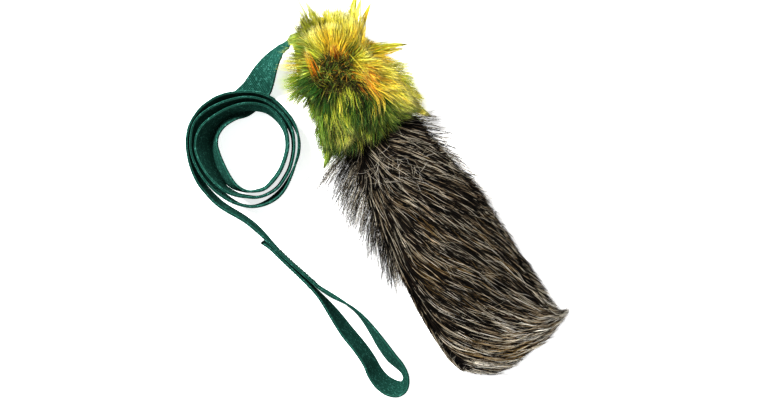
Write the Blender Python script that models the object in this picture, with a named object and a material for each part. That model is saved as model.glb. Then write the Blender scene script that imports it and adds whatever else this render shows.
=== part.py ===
# Fur chaser tug toy: a stuffed long-pile head with a squeaker, a folded fur
# tail, and a long webbing lead that ends in a hand loop.  Metres, +Z up.
# The toy lies on its belly.  +X runs from the head to the tip of the tail.
import math

import bpy
import bmesh
import numpy as np
from mathutils import Vector

for old in list(bpy.data.objects):
    bpy.data.objects.remove(old)

MM = 0.001
GAP = 0.3 * MM          # clearance kept between neighbouring pieces

# ---------------------------------------------------------------- dimensions
STRAP_W = 25.0 * MM     # nylon webbing, one inch wide
STRAP_T = 2.2 * MM
COIL_R_OUT = 49.0 * MM
COIL_R_IN = 31.0 * MM
HEAD_X0 = -172.5 * MM   # crown of the head
HEAD_X1 = -66.0 * MM    # where the cover is gathered at the neck
HEAD_Y = -1.0 * MM
PILE = 14.0 * MM        # backing cloth and the dense lower part of its pile
TAIL_Y = 0.0 * MM
TAIL_END = 172.5 * MM
FOLD_X, FOLD_Z = -46.9 * MM, 15.5 * MM     # neck fold line, along Y
BEND_X, BEND_Z = 58.0 * MM, 14.5 * MM      # mid-tail fold line, along Y
SQ_X, SQ_Y, SQ_R = -116.0 * MM, 14.6 * MM, 11.2 * MM   # squeaker axis
SQ_Z = 19.6 * MM

# Layout grid for the lead: 0.85 mm squares drawn over the toy as it lies,
# turned so that the fur's long axis runs at 58.5 degrees across it, and seen
# from EYE above the grid's middle.
CELL = 0.85 * MM
AXIS = math.radians(58.5)
EYE = 1200.0 * MM
MID = (382.0, 200.0)
ORIGIN_U, ORIGIN_V = 375.0, 253.5


def grid(x, y, z=0.0):
    """The point of the toy's frame at height z that shows at x, y of the grid."""
    k = (EYE - z) / EYE
    x, y = MID[0] + (x - MID[0]) * k, MID[1] + (y - MID[1]) * k
    u = math.cos(AXIS) * x + math.sin(AXIS) * y
    v = math.sin(AXIS) * x - math.cos(AXIS) * y
    return Vector((CELL * (u - ORIGIN_U), CELL * (v - ORIGIN_V), z))


# ----------------------------------------------------------------- materials
def material(name, colour, roughness, metallic=0.0):
    m = bpy.data.materials.new(name)
    m.use_nodes = True
    p = m.node_tree.nodes["Principled BSDF"]
    p.inputs["Base Color"].default_value = (*colour, 1.0)
    p.inputs["Roughness"].default_value = roughness
    p.inputs["Metallic"].default_value = metallic
    m.diffuse_color = (*colour, 1.0)
    return m


WEBBING = material("webbing_green", (0.008, 0.11, 0.08), 0.7)
THREAD = material("thread_green", (0.01, 0.07, 0.05), 0.6)
PILE_TOP = material("pile_yellow", (0.68, 0.52, 0.04), 0.9)
PILE_LOW = material("pile_green", (0.22, 0.33, 0.02), 0.9)
PELT = material("pelt_grey_brown", (0.10, 0.08, 0.055), 0.9)
SINEW = material("thread_dark", (0.03, 0.025, 0.02), 0.7)
FIBRE = material("fibre_fill", (0.8, 0.8, 0.78), 0.95)
TAPE = material("seam_tape", (0.12, 0.16, 0.03), 0.85)
PLASTIC = material("squeaker_plastic", (0.75, 0.78, 0.8), 0.35)
REED = material("reed_plastic", (0.85, 0.25, 0.05), 0.3)


# ------------------------------------------------------------- mesh builders
def finish(name, bm, mat, smooth_angle=40.0):
    bmesh.ops.remove_doubles(bm, verts=bm.verts, dist=1e-6)
    bmesh.ops.recalc_face_normals(bm, faces=bm.faces)
    me = bpy.data.meshes.new(name)
    bm.to_mesh(me)
    bm.free()
    me.materials.append(mat)
    me.shade_smooth()
    me.set_sharp_from_angle(angle=math.radians(smooth_angle))
    ob = bpy.data.objects.new(name, me)
    bpy.context.scene.collection.objects.link(ob)
    return ob


def loft(name, rings, mat, close_ends=True):
    """A closed skin over rings of equal count; the end rings are capped."""
    bm = bmesh.new()
    loops = [[bm.verts.new(p) for p in ring] for ring in rings]
    n = len(loops[0])
    for a, b in zip(loops, loops[1:]):
        for i in range(n):
            j = (i + 1) % n
            bm.faces.new((a[i], a[j], b[j], b[i]))
    if close_ends:
        bm.faces.new(list(reversed(loops[0])))
        bm.faces.new(loops[-1])
    return finish(name, bm, mat)


def joined_grids(name, outer, inner, mat):
    """A shell between two open surface grids that share their rim's order."""
    bm = bmesh.new()
    rows, cols = len(outer), len(outer[0])
    a = [[bm.verts.new(p) for p in row] for row in outer]
    b = [[bm.verts.new(p) for p in row] for row in inner]
    for i in range(rows - 1):
        for j in range(cols - 1):
            bm.faces.new((a[i][j], a[i][j + 1], a[i + 1][j + 1], a[i + 1][j]))
            bm.faces.new((b[i][j], b[i + 1][j], b[i + 1][j + 1], b[i][j + 1]))
    rim = (
        [(i, 0) for i in range(rows)]
        + [(rows - 1, j) for j in range(1, cols)]
        + [(i, cols - 1) for i in range(rows - 2, -1, -1)]
        + [(0, j) for j in range(cols - 2, 0, -1)]
    )
    for (i, j), (k, l) in zip(rim, rim[1:] + rim[:1]):
        quad = (a[i][j], b[i][j], b[k][l], a[k][l])
        bm.faces.new(quad)
    # The crown rows collapse to a point, and merging leaves flat faces there.
    bmesh.ops.remove_doubles(bm, verts=bm.verts, dist=1e-6)
    bmesh.ops.dissolve_degenerate(bm, edges=bm.edges, dist=1e-7)
    return finish(name, bm, mat)


def turned(name, profile, centre, mat, segments=32):
    """A profile of (radius, height) points turned about a vertical axis."""
    bm = bmesh.new()
    rings = []
    for k in range(segments):
        t = 2 * math.pi * k / segments
        rings.append(
            [
                bm.verts.new(
                    (
                        centre[0] + r * math.cos(t),
                        centre[1] + r * math.sin(t),
                        centre[2] + z,
                    )
                )
                for r, z in profile
            ]
        )
    n = len(profile)
    for k in range(segments):
        a, b = rings[k], rings[(k + 1) % segments]
        for i in range(n):
            j = (i + 1) % n
            bm.faces.new((a[i], b[i], b[j], a[j]))
    bmesh.ops.remove_doubles(bm, verts=bm.verts, dist=1e-6)
    bmesh.ops.dissolve_degenerate(bm, edges=bm.edges, dist=1e-7)
    return finish(name, bm, mat)


def cut(ob, cutter):
    """Subtracts a guide object, which stays in the file as a wire."""
    cutter.hide_render = True
    cutter.display_type = "WIRE"
    m = ob.modifiers.new("cut", "BOOLEAN")
    m.operation = "DIFFERENCE"
    m.solver = "EXACT"
    m.object = cutter


def smooth(points, step):
    """Points every step along a smooth curve through the given ones. All
    channels after the first three, such as a roll angle, go along."""
    p = np.array(points, float)
    p = np.vstack([2 * p[0] - p[1], p, 2 * p[-1] - p[-2]])
    fine = []
    for i in range(1, len(p) - 2):
        p0, p1, p2, p3 = p[i - 1 : i + 3]
        for t in np.linspace(0, 1, 24, endpoint=False):
            fine.append(
                0.5
                * (
                    2 * p1
                    + (p2 - p0) * t
                    + (2 * p0 - 5 * p1 + 4 * p2 - p3) * t * t
                    + (3 * p1 - p0 - 3 * p2 + p3) * t**3
                )
            )
    fine = np.array(fine + [p[-2]])
    along = np.concatenate(
        [[0], np.cumsum(np.linalg.norm(np.diff(fine[:, :3], axis=0), axis=1))]
    )
    at = np.linspace(0, along[-1], max(3, int(round(along[-1] / step)) + 1))
    return np.stack([np.interp(at, along, fine[:, k]) for k in range(p.shape[1])], 1)


def ribbon_rings(stations, width, thick):
    """Cross-sections of a strap. A station is x, y, z and the strap's roll in
    degrees: 0 lies flat, 90 stands on edge with its left-hand edge up."""
    s = np.array(stations)
    tangent = np.gradient(s[:, :3], axis=0)
    rings = []
    for (x, y, z, roll), t in zip(s, tangent):
        t = Vector(t).normalized()
        left = Vector((0, 0, 1)).cross(t).normalized()
        up = t.cross(left).normalized()
        r = math.radians(roll)
        w = left * math.cos(r) + up * math.sin(r)
        m = -left * math.sin(r) + up * math.cos(r)
        c, e = Vector((x, y, z)), min(thick * 0.35, width * 0.1)
        rings.append(
            [
                c + w * (sw * (width / 2 - dw)) + m * (sm * (thick / 2 - dm))
                for sw, sm, dw, dm in (
                    (1, 1, e, 0), (-1, 1, e, 0), (-1, 1, 0, e), (-1, -1, 0, e),
                    (-1, -1, e, 0), (1, -1, e, 0), (1, -1, 0, e), (1, 1, 0, e),
                )
            ]
        )
    return rings


def strap(name, stations, mat=WEBBING, width=STRAP_W, thick=STRAP_T):
    return loft(name, ribbon_rings(stations, width, thick), mat)


def standing(x, y, roll, lift=0.0, width=STRAP_W):
    """A station at a grid point whose lower edge rests on the ground."""
    r = math.radians(roll)
    z = width / 2 * abs(math.sin(r)) + STRAP_T / 2 * abs(math.cos(r)) + lift
    p = grid(x, y, z)
    return (p.x, p.y, p.z, roll)


def table(x, rows):
    """Reads a smooth value from rows of (x, value), both in millimetres."""
    xs, vs = [r[0] for r in rows], [r[1] for r in rows]
    x = x / MM
    i = max(0, min(len(xs) - 2, next((k for k in range(len(xs) - 1) if x <= xs[k + 1]), len(xs) - 2)))
    t = (x - xs[i]) / (xs[i + 1] - xs[i])
    t = max(0.0, min(1.0, t))
    slope = lambda k: 0.0 if k in (0, len(xs) - 1) else (vs[k + 1] - vs[k - 1]) / (xs[k + 1] - xs[k - 1])
    h = xs[i + 1] - xs[i]
    return MM * (
        vs[i] * (2 * t**3 - 3 * t * t + 1)
        + vs[i + 1] * (3 * t * t - 2 * t**3)
        + slope(i) * h * (t**3 - 2 * t * t + t)
        + slope(i + 1) * h * (t**3 - t * t)
    )


# ------------------------------------------------------------ the head cover
HALF_WIDTH = [(-172.5, 2.0), (-168, 14), (-158, 25.5), (-145, 35), (-128, 42.5), (-108, 46.5), (-88, 48), (-66, 47.5)]
RISE = [(-172.5, 1.5), (-168, 11), (-158, 20.5), (-145, 26.5), (-125, 30), (-105, 30), (-85, 26), (-66, 19.5)]
DROP = [(-172.5, 1.5), (-168, 11), (-158, 20.5), (-145, 27.5), (-125, 30), (-105, 30), (-85, 26), (-66, 17.5)]
SEAM_Z = [(-172.5, 29), (-145, 28.5), (-125, 28), (-105, 26.5), (-85, 21.5), (-66, 16.0)]
SQUARE = 0.82           # under 1 makes a section fuller than an ellipse


def signed(v, p):
    return math.copysign(abs(v) ** p, v)


def head_row(x, inset, side, cols, lift):
    """Half a cross-section of the head at x, from its left seam to its right."""
    w = max(table(x, HALF_WIDTH) - inset, 0.0)
    h = max(table(x, RISE if side > 0 else DROP) - inset, 0.0)
    z0 = table(x, SEAM_Z)
    row = []
    for k in range(cols):
        a = math.pi * k / (cols - 1)
        y = HEAD_Y + w * signed(math.cos(a), SQUARE)
        z = z0 + side * (lift + h * abs(math.sin(a)) ** SQUARE)
        row.append((x, y, max(z, 0.0)))
    return row


def head_half(name, side, mat, cols=17, rows=15):
    lift = 0.9 * MM
    outer, inner = [], []
    for i in range(rows):
        t = i / (rows - 1)
        t = t ** 1.55       # closer rows near the crown
        xo = HEAD_X0 + (HEAD_X1 - HEAD_X0) * t
        xi = HEAD_X0 + PILE + (HEAD_X1 - HEAD_X0 - PILE) * t
        neck = max(0.0, (xi / MM + 95.0) / 29.0)
        inset = PILE - 5.5 * MM * min(1.0, neck)
        outer.append(head_row(xo, 0.0, side, cols, lift))
        inner.append(head_row(xi, inset, side, cols, lift))
    crown_o = (HEAD_X0, HEAD_Y, table(HEAD_X0, SEAM_Z) + side * lift)
    outer[0] = [crown_o] * cols
    xi = HEAD_X0 + PILE
    inner[0] = [(xi, HEAD_Y, table(xi, SEAM_Z) + side * lift)] * cols
    return joined_grids(name, outer, inner, mat)


cover_top = head_half("head_cover_top", 1, PILE_TOP)
cover_bottom = head_half("head_cover_bottom", -1, PILE_LOW)


# ------------------------------------------------- the webbing inside the head
MOUTH = Vector((-154.6 * MM, -31.0 * MM, 27.0 * MM))    # lead hinge axis
MOUTH_DIR = Vector((0.12, -0.99, 0.0)).normalized()


def anchor_route(extra=0.0):
    """From the neck, where it lies flat, to the mouth, where it stands."""
    m = MOUTH - MOUTH_DIR * (1.6 * MM - extra)
    i = MOUTH - MOUTH_DIR * 14 * MM
    return smooth(
        [
            (-63.4 * MM, 0.0, 15.8 * MM, 0.0),
            (-72 * MM, 0.0, 17.5 * MM, 10.0),
            (-84 * MM, 0.0, 21.5 * MM, 50.0),
            (-95 * MM, 0.0, 25.0 * MM, 84.0),
            (-105 * MM, 0.0, 26.5 * MM, 90.0),
            (-125 * MM, -0.4 * MM, 27.0 * MM, 90.0),
            (-141 * MM, -3.5 * MM, 27.0 * MM, 90.0),
            (-150 * MM, -8.5 * MM, 27.0 * MM, 90.0),
            (i.x, i.y, 27.0 * MM, 90.0),
            (m.x, m.y, 27.0 * MM, 90.0),
        ],
        4.0 * MM,
    )


strap("strap_anchor", anchor_route())
slot = strap("mouth_slot_guide", anchor_route(6 * MM)[-17:], width=STRAP_W + 1.2 * MM, thick=STRAP_T + 1.4 * MM)
cut(cover_top, slot)
cut(cover_bottom, slot)


# ------------------------------------------------------------------ seam tape
def seam_tape(name, side, x_start):
    """The tape sewn between the cover's halves, along one side of the head."""
    outer, inner = [], []
    steps = 15
    half = 0.55 * MM
    for i in range(steps):
        t = (i / (steps - 1)) ** 1.4
        x = x_start + (HEAD_X1 - 1 * MM - x_start) * t
        w = table(x, HALF_WIDTH) - 1.2 * MM
        neck = max(0.0, (x / MM + 95.0) / 29.0)
        depth = 8.0 * MM - 2.0 * MM * min(1.0, neck)
        z = table(x, SEAM_Z)
        y0, y1 = HEAD_Y + side * w, HEAD_Y + side * max(w - depth, 0.5 * MM)
        outer.append([(x, y0, z - half), (x, y0, z + half), (x, y1, z + half), (x, y1, z - half)])
    return loft(name, outer, TAPE)


seam_tape("seam_tape_right", 1, -165.0 * MM)
seam_tape("seam_tape_left", -1, -146.0 * MM)


# -------------------------------------------------------------- fibre filling
def stuffing(name, side, x0, x1, y_near):
    """A pad that fills one side of the cover, beside the standing webbing."""
    rings = []
    rows = 9
    for i in range(rows):
        t = i / (rows - 1)
        x = x0 + (x1 - x0) * t
        end = math.sqrt(max(0.0, 1 - abs(2 * t - 1) ** 3))
        scale = 0.35 + 0.65 * end
        w = (table(x, HALF_WIDTH) - PILE - 1.5 * MM) * (0.72 + 0.28 * end)
        up = (table(x, RISE) - PILE - 0.8 * MM) * scale
        down = (table(x, DROP) - PILE - 0.8 * MM) * scale
        down = min(down, table(x, SEAM_Z) - PILE - 0.8 * MM)
        z0 = table(x, SEAM_Z)
        ring = []
        for k in range(11):
            a = -math.pi / 2 + math.pi * k / 10
            y = HEAD_Y + side * max(y_near + (w - y_near) * math.cos(a) ** 0.8, y_near)
            z = z0 + (up if a > 0 else down) * signed(math.sin(a), 0.85)
            ring.append((x, y, z))
        if side < 0:
            ring.reverse()
        rings.append(ring)
    return loft(name, rings, FIBRE)


pad_right = stuffing("stuffing_right", 1, -146 * MM, -97 * MM, 4.2 * MM)
stuffing("stuffing_left", -1, -138 * MM, -97 * MM, 3.0 * MM)
pocket = turned(
    "squeaker_pocket_guide",
    [(0.0, -30 * MM), (SQ_R + 0.8 * MM, -30 * MM), (SQ_R + 0.8 * MM, 30 * MM), (0.0, 30 * MM)],
    (SQ_X, SQ_Y, 28 * MM),
    FIBRE,
)
cut(pad_right, pocket)

# -------------------------------------------------------------------- squeaker
turned(
    "squeaker_base",
    [
        (2.3 * MM, 0), (SQ_R, 0), (SQ_R, 1.6 * MM), (SQ_R - 1.6 * MM, 1.6 * MM),
        (SQ_R - 1.6 * MM, 10.5 * MM), (SQ_R - 2.8 * MM, 10.5 * MM),
        (SQ_R - 2.8 * MM, 1.6 * MM), (4.2 * MM, 1.6 * MM), (4.2 * MM, 5 * MM), (2.3 * MM, 5 * MM),
    ],
    (SQ_X, SQ_Y, SQ_Z),
    PLASTIC,
)
turned(
    "squeaker_reed",
    [(0.0, 0.3 * MM), (1.9 * MM, 0.3 * MM), (1.9 * MM, 6.4 * MM), (0.0, 6.4 * MM)],
    (SQ_X, SQ_Y, SQ_Z),
    REED,
    12,
)
bulb = []
for k in range(7):
    a = math.pi / 2 * k / 6
    bulb.append((SQ_R * math.cos(a), 13.5 * MM + 6.0 * MM * math.sin(a)))
inner_bulb = []
for k in range(6, -1, -1):
    a = math.pi / 2 * k / 6
    inner_bulb.append(((SQ_R - 1.2 * MM) * math.cos(a), 13.5 * MM + 4.8 * MM * math.sin(a)))
turned(
    "squeaker_bulb",
    [(SQ_R, 7.0 * MM)] + bulb + inner_bulb + [(SQ_R - 1.2 * MM, 7.0 * MM)],
    (SQ_X, SQ_Y, SQ_Z),
    PLASTIC,
)


# --------------------------------------------------------------- neck binding
def oval(x, w, h, z0, n=28):
    return [
        (x, TAIL_Y + w * signed(math.cos(2 * math.pi * k / n), 0.85), z0 + h * signed(math.sin(2 * math.pi * k / n), 0.85))
        for k in range(n)
    ]


def oval_ring(name, x0, x1, outer, inner, z0, mat):
    bm = bmesh.new()
    loops = [
        [bm.verts.new(p) for p in oval(x, w, h, z0)]
        for x, (w, h) in ((x0, outer), (x1, outer), (x1, inner), (x0, inner))
    ]
    n = len(loops[0])
    for a, b in zip(loops, loops[1:] + loops[:1]):
        for i in range(n):
            j = (i + 1) % n
            bm.faces.new((a[i], a[j], b[j], b[i]))
    return finish(name, bm, mat)


oval_ring(
    "neck_binding", HEAD_X1 + GAP, HEAD_X1 + 3.1 * MM,
    (44 * MM, 14.6 * MM), (40 * MM, 10.6 * MM), 15.8 * MM, SINEW,
)
# Bar of thread sewn along the standing webbing, between the two fibre pads.
strap(
    "anchor_bar_tack",
    [(x * MM, STRAP_T / 2 + GAP + 0.6 * MM, 27 * MM, 90.0) for x in (-120, -116, -112)],
    SINEW, 16.0 * MM, 0.9 * MM,
)


# -------------------------------------------------------------------- the tail
TAIL_W = [(-62.4, 43.5), (-46.9, 46), (-20, 48), (20, 48.5), (60, 49), (110, 50), (140, 48.5), (158, 42), (167, 33), (172.5, 17)]
TAIL_H = [(-62.4, 15.5), (-46.9, 15.5), (20, 14.8), (43.2, 14.5), (72, 14.5), (110, 13.4), (140, 11.5), (158, 9), (167, 7), (172.5, 4.2)]
POCKET_Y, POCKET_Z, SEAM_GAP = 13.6 * MM, 1.7 * MM, 0.75 * MM


def tail_ring(x, w, h, z0, n=30):
    """A folded pelt's cross-section, open along its left edge, with a pocket
    down its middle for the webbing core."""
    ring = []
    a0 = math.asin(min(1.0, (SEAM_GAP / h) ** (1 / SQUARE)))
    for k in range(n + 1):
        a = -math.pi + a0 + (2 * math.pi - 2 * a0) * k / n
        y = TAIL_Y + w * signed(math.cos(a), SQUARE)
        z = z0 + h * 1.06 * signed(math.sin(a), SQUARE)
        z = min(max(z, z0 - h), z0 + h)
        ring.append((x, y, z))
    ring[0] = (x, ring[0][1], z0 - SEAM_GAP)
    ring[-1] = (x, ring[-1][1], z0 + SEAM_GAP)
    for y, z in (
        (-POCKET_Y, SEAM_GAP), (-POCKET_Y, POCKET_Z), (POCKET_Y, POCKET_Z),
        (POCKET_Y, -POCKET_Z), (-POCKET_Y, -POCKET_Z), (-POCKET_Y, -SEAM_GAP),
    ):
        ring.append((x, TAIL_Y + y, z0 + z))
    return ring


def pelt(name, x_axis, z_axis, x_end, steps):
    """A tail segment with a half-round nose about its fold line."""
    rings = []
    radius = z_axis
    for k in range(6):
        a = math.radians(14 + 76 * k / 5)
        x = x_axis - radius * math.cos(a)
        rings.append(tail_ring(x, table(x, TAIL_W), radius * math.sin(a), z_axis))
    for k in range(1, steps + 1):
        x = x_axis + (x_end - x_axis) * k / steps
        h = table(x, TAIL_H)
        rings.append(tail_ring(x, table(x, TAIL_W), h, h))
    return loft(name, rings, PELT)


pelt("tail_pelt_root", FOLD_X, FOLD_Z, BEND_X - BEND_Z - GAP, 6)
pelt("tail_pelt_tip", BEND_X, BEND_Z, TAIL_END, 14)


def core(name, x0, x1, z0, z1):
    steps = 5
    return strap(
        name,
        [
            (x0 + (x1 - x0) * k / steps, TAIL_Y, z0 + (z1 - z0) * k / steps, 0.0)
            for k in range(steps + 1)
        ],
    )


core("tail_core_root", -57.5 * MM, 39.0 * MM, 15.5 * MM, 14.55 * MM)


def along_tail(x):
    return table(x, TAIL_H)


strap(
    "tail_core_tip",
    [(x * MM, TAIL_Y, along_tail(x * MM), 0.0) for x in (47, 60, 72, 85, 98, 110, 120, 130)],
)


def seam_thread(name, x0, x1, axis_x, axis_z, n=12):
    """The thread that closes the pelt's folded edges."""
    rings = []
    for k in range(n + 1):
        x = x0 + (x1 - x0) * k / n
        z = axis_z if x < axis_x else along_tail(x)
        y = TAIL_Y - table(x, TAIL_W) + 5.0 * MM
        rings.append(
            [
                (x, y + 0.4 * MM * math.cos(2 * math.pi * i / 6), z + 0.4 * MM * math.sin(2 * math.pi * i / 6))
                for i in range(6)
            ]
        )
    return loft(name, rings, SINEW)


seam_thread("tail_seam_root", -58 * MM, 42 * MM, FOLD_X, FOLD_Z)
seam_thread("tail_seam_tip", 47 * MM, 150 * MM, BEND_X, BEND_Z)

# ------------------------------------------------------------- webbing outside
COIL = grid(244.5, 149.5, 12.5 * MM)
COIL_AT = (COIL.x, COIL.y)

lead_points = []
for ahead in (0.2, 4.0):
    m = MOUTH + MOUTH_DIR * ahead * MM
    lead_points.append((m.x, m.y, MOUTH.z, 90.0))
for x, y, z, roll in (
    (272.2, 58.0, 22.0, 56.0), (265.2, 68.5, 15.0, 32.0),
    (260.4, 78.5, 8.2, 12.0), (257.4, 86.5, 3.2, 2.0),
):
    p = grid(x, y, z * MM)
    lead_points.append((p.x, p.y, p.z, roll))
lead = smooth(lead_points, 4.0 * MM)
lead = [s for s in lead if math.hypot(s[0] - COIL_AT[0], s[1] - COIL_AT[1]) > COIL_R_OUT + 1.2 * MM]
strap("strap_lead_in", lead)

turned(
    "strap_coil",
    [(COIL_R_IN, 0.0), (COIL_R_OUT, 0.0), (COIL_R_OUT, STRAP_W), (COIL_R_IN, STRAP_W)],
    (COIL.x, COIL.y, 0.0),
    WEBBING,
    48,
)

LOOP_HINGE = grid(317.0, 289.2, 12.5 * MM)
LAP_DIR = (grid(317.0, 289.2, 12.5 * MM) - grid(303.0, 277.6, 12.5 * MM)).normalized()
LAP_LEFT = Vector((0, 0, 1)).cross(LAP_DIR)
HALF_LAP = (STRAP_T + GAP) / 2


def lap_point(back, side):
    """A point of the sewn lap, back along it from the loop's hinge."""
    p = LOOP_HINGE - LAP_DIR * back + LAP_LEFT * side
    return (p.x, p.y, STRAP_W / 2, 90.0)


run_points = [
    standing(216.5, 203.5, 96), standing(229.0, 209.5, 98), standing(239.7, 215.8, 96),
    standing(248.5, 222.0, 92), standing(256.3, 228.6, 90), standing(264.0, 236.2, 90),
    lap_point(58 * MM, HALF_LAP), lap_point(44 * MM, HALF_LAP), lap_point(28 * MM, HALF_LAP),
    lap_point(14 * MM, HALF_LAP), lap_point(3.0 * MM, HALF_LAP),
]
run = smooth(run_points, 5.0 * MM)
run = [s for s in run if math.hypot(s[0] - COIL_AT[0], s[1] - COIL_AT[1]) > COIL_R_OUT + 3.2 * MM]
strap("strap_run", run)

strap(
    "strap_end_lap",
    smooth(
        [
            lap_point(b * MM, -HALF_LAP - splay * MM)
            for b, splay in ((62, 2.6), (54, 1.0), (46, 0.2), (36, 0), (20, 0), (3, 0))
        ],
        6.0 * MM,
    ),
)

first = LOOP_HINGE + LAP_DIR * 0.2 * MM
loop_points = [lap_point(-0.2 * MM, HALF_LAP), lap_point(-7 * MM, HALF_LAP + 0.3 * MM)]
loop_points += [
    standing(x, y, r)
    for x, y, r in (
        (333.5, 296.0, 88), (345.5, 303.2, 86), (356.8, 311.6, 82), (366.0, 321.7, 76),
        (374.2, 332.8, 70), (382.9, 345.8, 66), (391.5, 357.5, 64), (399.0, 365.2, 64),
        (404.6, 373.0, 66), (406.2, 381.0, 68), (403.2, 387.0, 67), (397.5, 389.0, 66),
        (389.6, 387.0, 66), (381.2, 381.0, 66), (374.5, 372.1, 67), (370.0, 362.9, 68),
        (365.0, 354.7, 68), (357.3, 344.3, 69), (347.1, 331.9, 70), (337.3, 318.4, 74),
        (328.1, 306.2, 80),
    )
]
loop_points += [lap_point(-7 * MM, -HALF_LAP - 0.3 * MM), lap_point(-0.2 * MM, -HALF_LAP)]
strap("handle_loop", smooth(loop_points, 6.0 * MM))


def stitch(name, back, length, height, side):
    """A patch of close stitches on one face of the lap."""
    rows = []
    off = side * (STRAP_T + GAP / 2 + GAP + 0.25 * MM)
    for k in range(3):
        b = back + length * k / 2
        p = LOOP_HINGE - LAP_DIR * b + LAP_LEFT * off
        rows.append((p.x, p.y, STRAP_W / 2, 90.0))
    return strap(name, list(reversed(rows)), THREAD, height, 0.5 * MM)


stitch("lap_box_stitch_left", 12 * MM, 34 * MM, 17 * MM, 1)
stitch("lap_box_stitch_right", 12 * MM, 34 * MM, 17 * MM, -1)
stitch("lap_bar_tack", 5 * MM, 3 * MM, 20 * MM, 1)
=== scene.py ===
import math

import bpy
import bmesh
import numpy as np
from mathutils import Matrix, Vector
from mathutils.kdtree import KDTree


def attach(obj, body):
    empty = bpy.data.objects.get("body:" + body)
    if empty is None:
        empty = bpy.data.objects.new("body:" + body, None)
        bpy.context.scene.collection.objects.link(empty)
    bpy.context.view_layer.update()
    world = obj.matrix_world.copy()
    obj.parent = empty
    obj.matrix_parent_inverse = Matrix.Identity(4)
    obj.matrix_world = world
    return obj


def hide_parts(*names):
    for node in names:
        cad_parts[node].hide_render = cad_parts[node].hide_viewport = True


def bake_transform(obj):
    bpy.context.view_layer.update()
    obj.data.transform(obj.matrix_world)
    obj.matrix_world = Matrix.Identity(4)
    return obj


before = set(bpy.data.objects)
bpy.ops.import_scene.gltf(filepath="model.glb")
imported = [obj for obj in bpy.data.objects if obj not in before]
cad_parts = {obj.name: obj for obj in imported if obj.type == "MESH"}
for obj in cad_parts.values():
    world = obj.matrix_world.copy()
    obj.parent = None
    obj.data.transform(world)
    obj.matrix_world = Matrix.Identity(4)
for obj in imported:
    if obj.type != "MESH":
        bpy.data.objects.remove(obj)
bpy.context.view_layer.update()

MM = 0.001
STRAP_W = 25.0 * MM
STRAP_T = 2.2 * MM
GAP = 0.3 * MM
HEAD_X0, HEAD_X1, HEAD_Y = -172.5 * MM, -66.0 * MM, -1.0 * MM

# The layout grid of the part's source: 0.85 mm squares, seen from EYE.
CELL = 0.85 * MM
AXIS = math.radians(58.5)
EYE = 1200.0 * MM
MID = (382.0, 200.0)
ORIGIN_U, ORIGIN_V = 375.0, 253.5
RIGHT = np.array([math.cos(AXIS), math.sin(AXIS), 0.0])     # grid's +x in the toy's frame
DOWN = np.array([math.sin(AXIS), -math.cos(AXIS), 0.0])     # grid's +y


def grid(x, y, z=0.0):
    """Points of the toy's frame at height z that show at x, y of the grid."""
    x, y, z = np.asarray(x, float), np.asarray(y, float), np.asarray(z, float)
    k = (EYE - z) / EYE
    x, y = MID[0] + (x - MID[0]) * k, MID[1] + (y - MID[1]) * k
    u = math.cos(AXIS) * x + math.sin(AXIS) * y
    v = math.sin(AXIS) * x - math.cos(AXIS) * y
    return np.stack([CELL * (u - ORIGIN_U), CELL * (v - ORIGIN_V), z + 0 * u], -1)


def on_grid(p):
    """Where points of the toy's frame show on the grid."""
    u, v = p[..., 0] / CELL + ORIGIN_U, p[..., 1] / CELL + ORIGIN_V
    x = math.cos(AXIS) * u + math.sin(AXIS) * v
    y = math.sin(AXIS) * u - math.cos(AXIS) * v
    k = EYE / (EYE - p[..., 2])
    return MID[0] + (x - MID[0]) * k, MID[1] + (y - MID[1]) * k


# ------------------------------------------------------------ camera and light
def look_at(ob, place, target, up=Vector((0, 0, 1))):
    back = (Vector(place) - Vector(target)).normalized()
    side = Vector(up).cross(back).normalized()
    top = back.cross(side)
    m = [[side[i], top[i], back[i], place[i]] for i in range(3)] + [[0, 0, 0, 1]]
    from mathutils import Matrix

    ob.matrix_world = Matrix(m)


def camera():
    data = bpy.data.cameras.new("camera")
    data.sensor_width = 36.0
    data.lens = 36.0 * EYE / (764 * CELL)
    data.clip_start, data.clip_end = 0.05, 20.0
    cam = bpy.data.objects.new("camera", data)
    bpy.context.scene.collection.objects.link(cam)
    centre = grid(MID[0], MID[1], 0.0)
    look_at(cam, (centre[0], centre[1], EYE), (centre[0], centre[1], 0.0), up=-DOWN)
    bpy.context.scene.camera = cam
    return centre


CENTRE = camera()


def area_light(name, direction, distance, size, power, colour=(1, 1, 1)):
    """A soft square light; direction is (grid right, grid up, height)."""
    d = direction[0] * RIGHT - direction[1] * DOWN + np.array([0, 0, direction[2]])
    d = d / np.linalg.norm(d)
    data = bpy.data.lights.new(name, "AREA")
    data.shape = "SQUARE"
    data.size = size
    data.energy = power
    data.color = colour
    ob = bpy.data.objects.new(name, data)
    bpy.context.scene.collection.objects.link(ob)
    place = CENTRE + d * distance
    look_at(ob, tuple(place), tuple(CENTRE), up=Vector((0.3, 0.2, 1)))
    return ob


area_light("key", (-0.75, 0.62, 1.2), 2.2, 0.7, 112.0)
area_light("rim", (0.9, 0.5, 0.9), 2.4, 1.6, 7.0)
world = bpy.data.worlds.new("studio")
world.use_nodes = True
world.node_tree.nodes["Background"].inputs["Color"].default_value = (1.0, 1.0, 1.0, 1.0)
world.node_tree.nodes["Background"].inputs["Strength"].default_value = 0.44
bpy.context.scene.world = world
bpy.context.scene.view_settings.view_transform = "Standard"
bpy.context.scene.view_settings.gamma = 0.82


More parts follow.
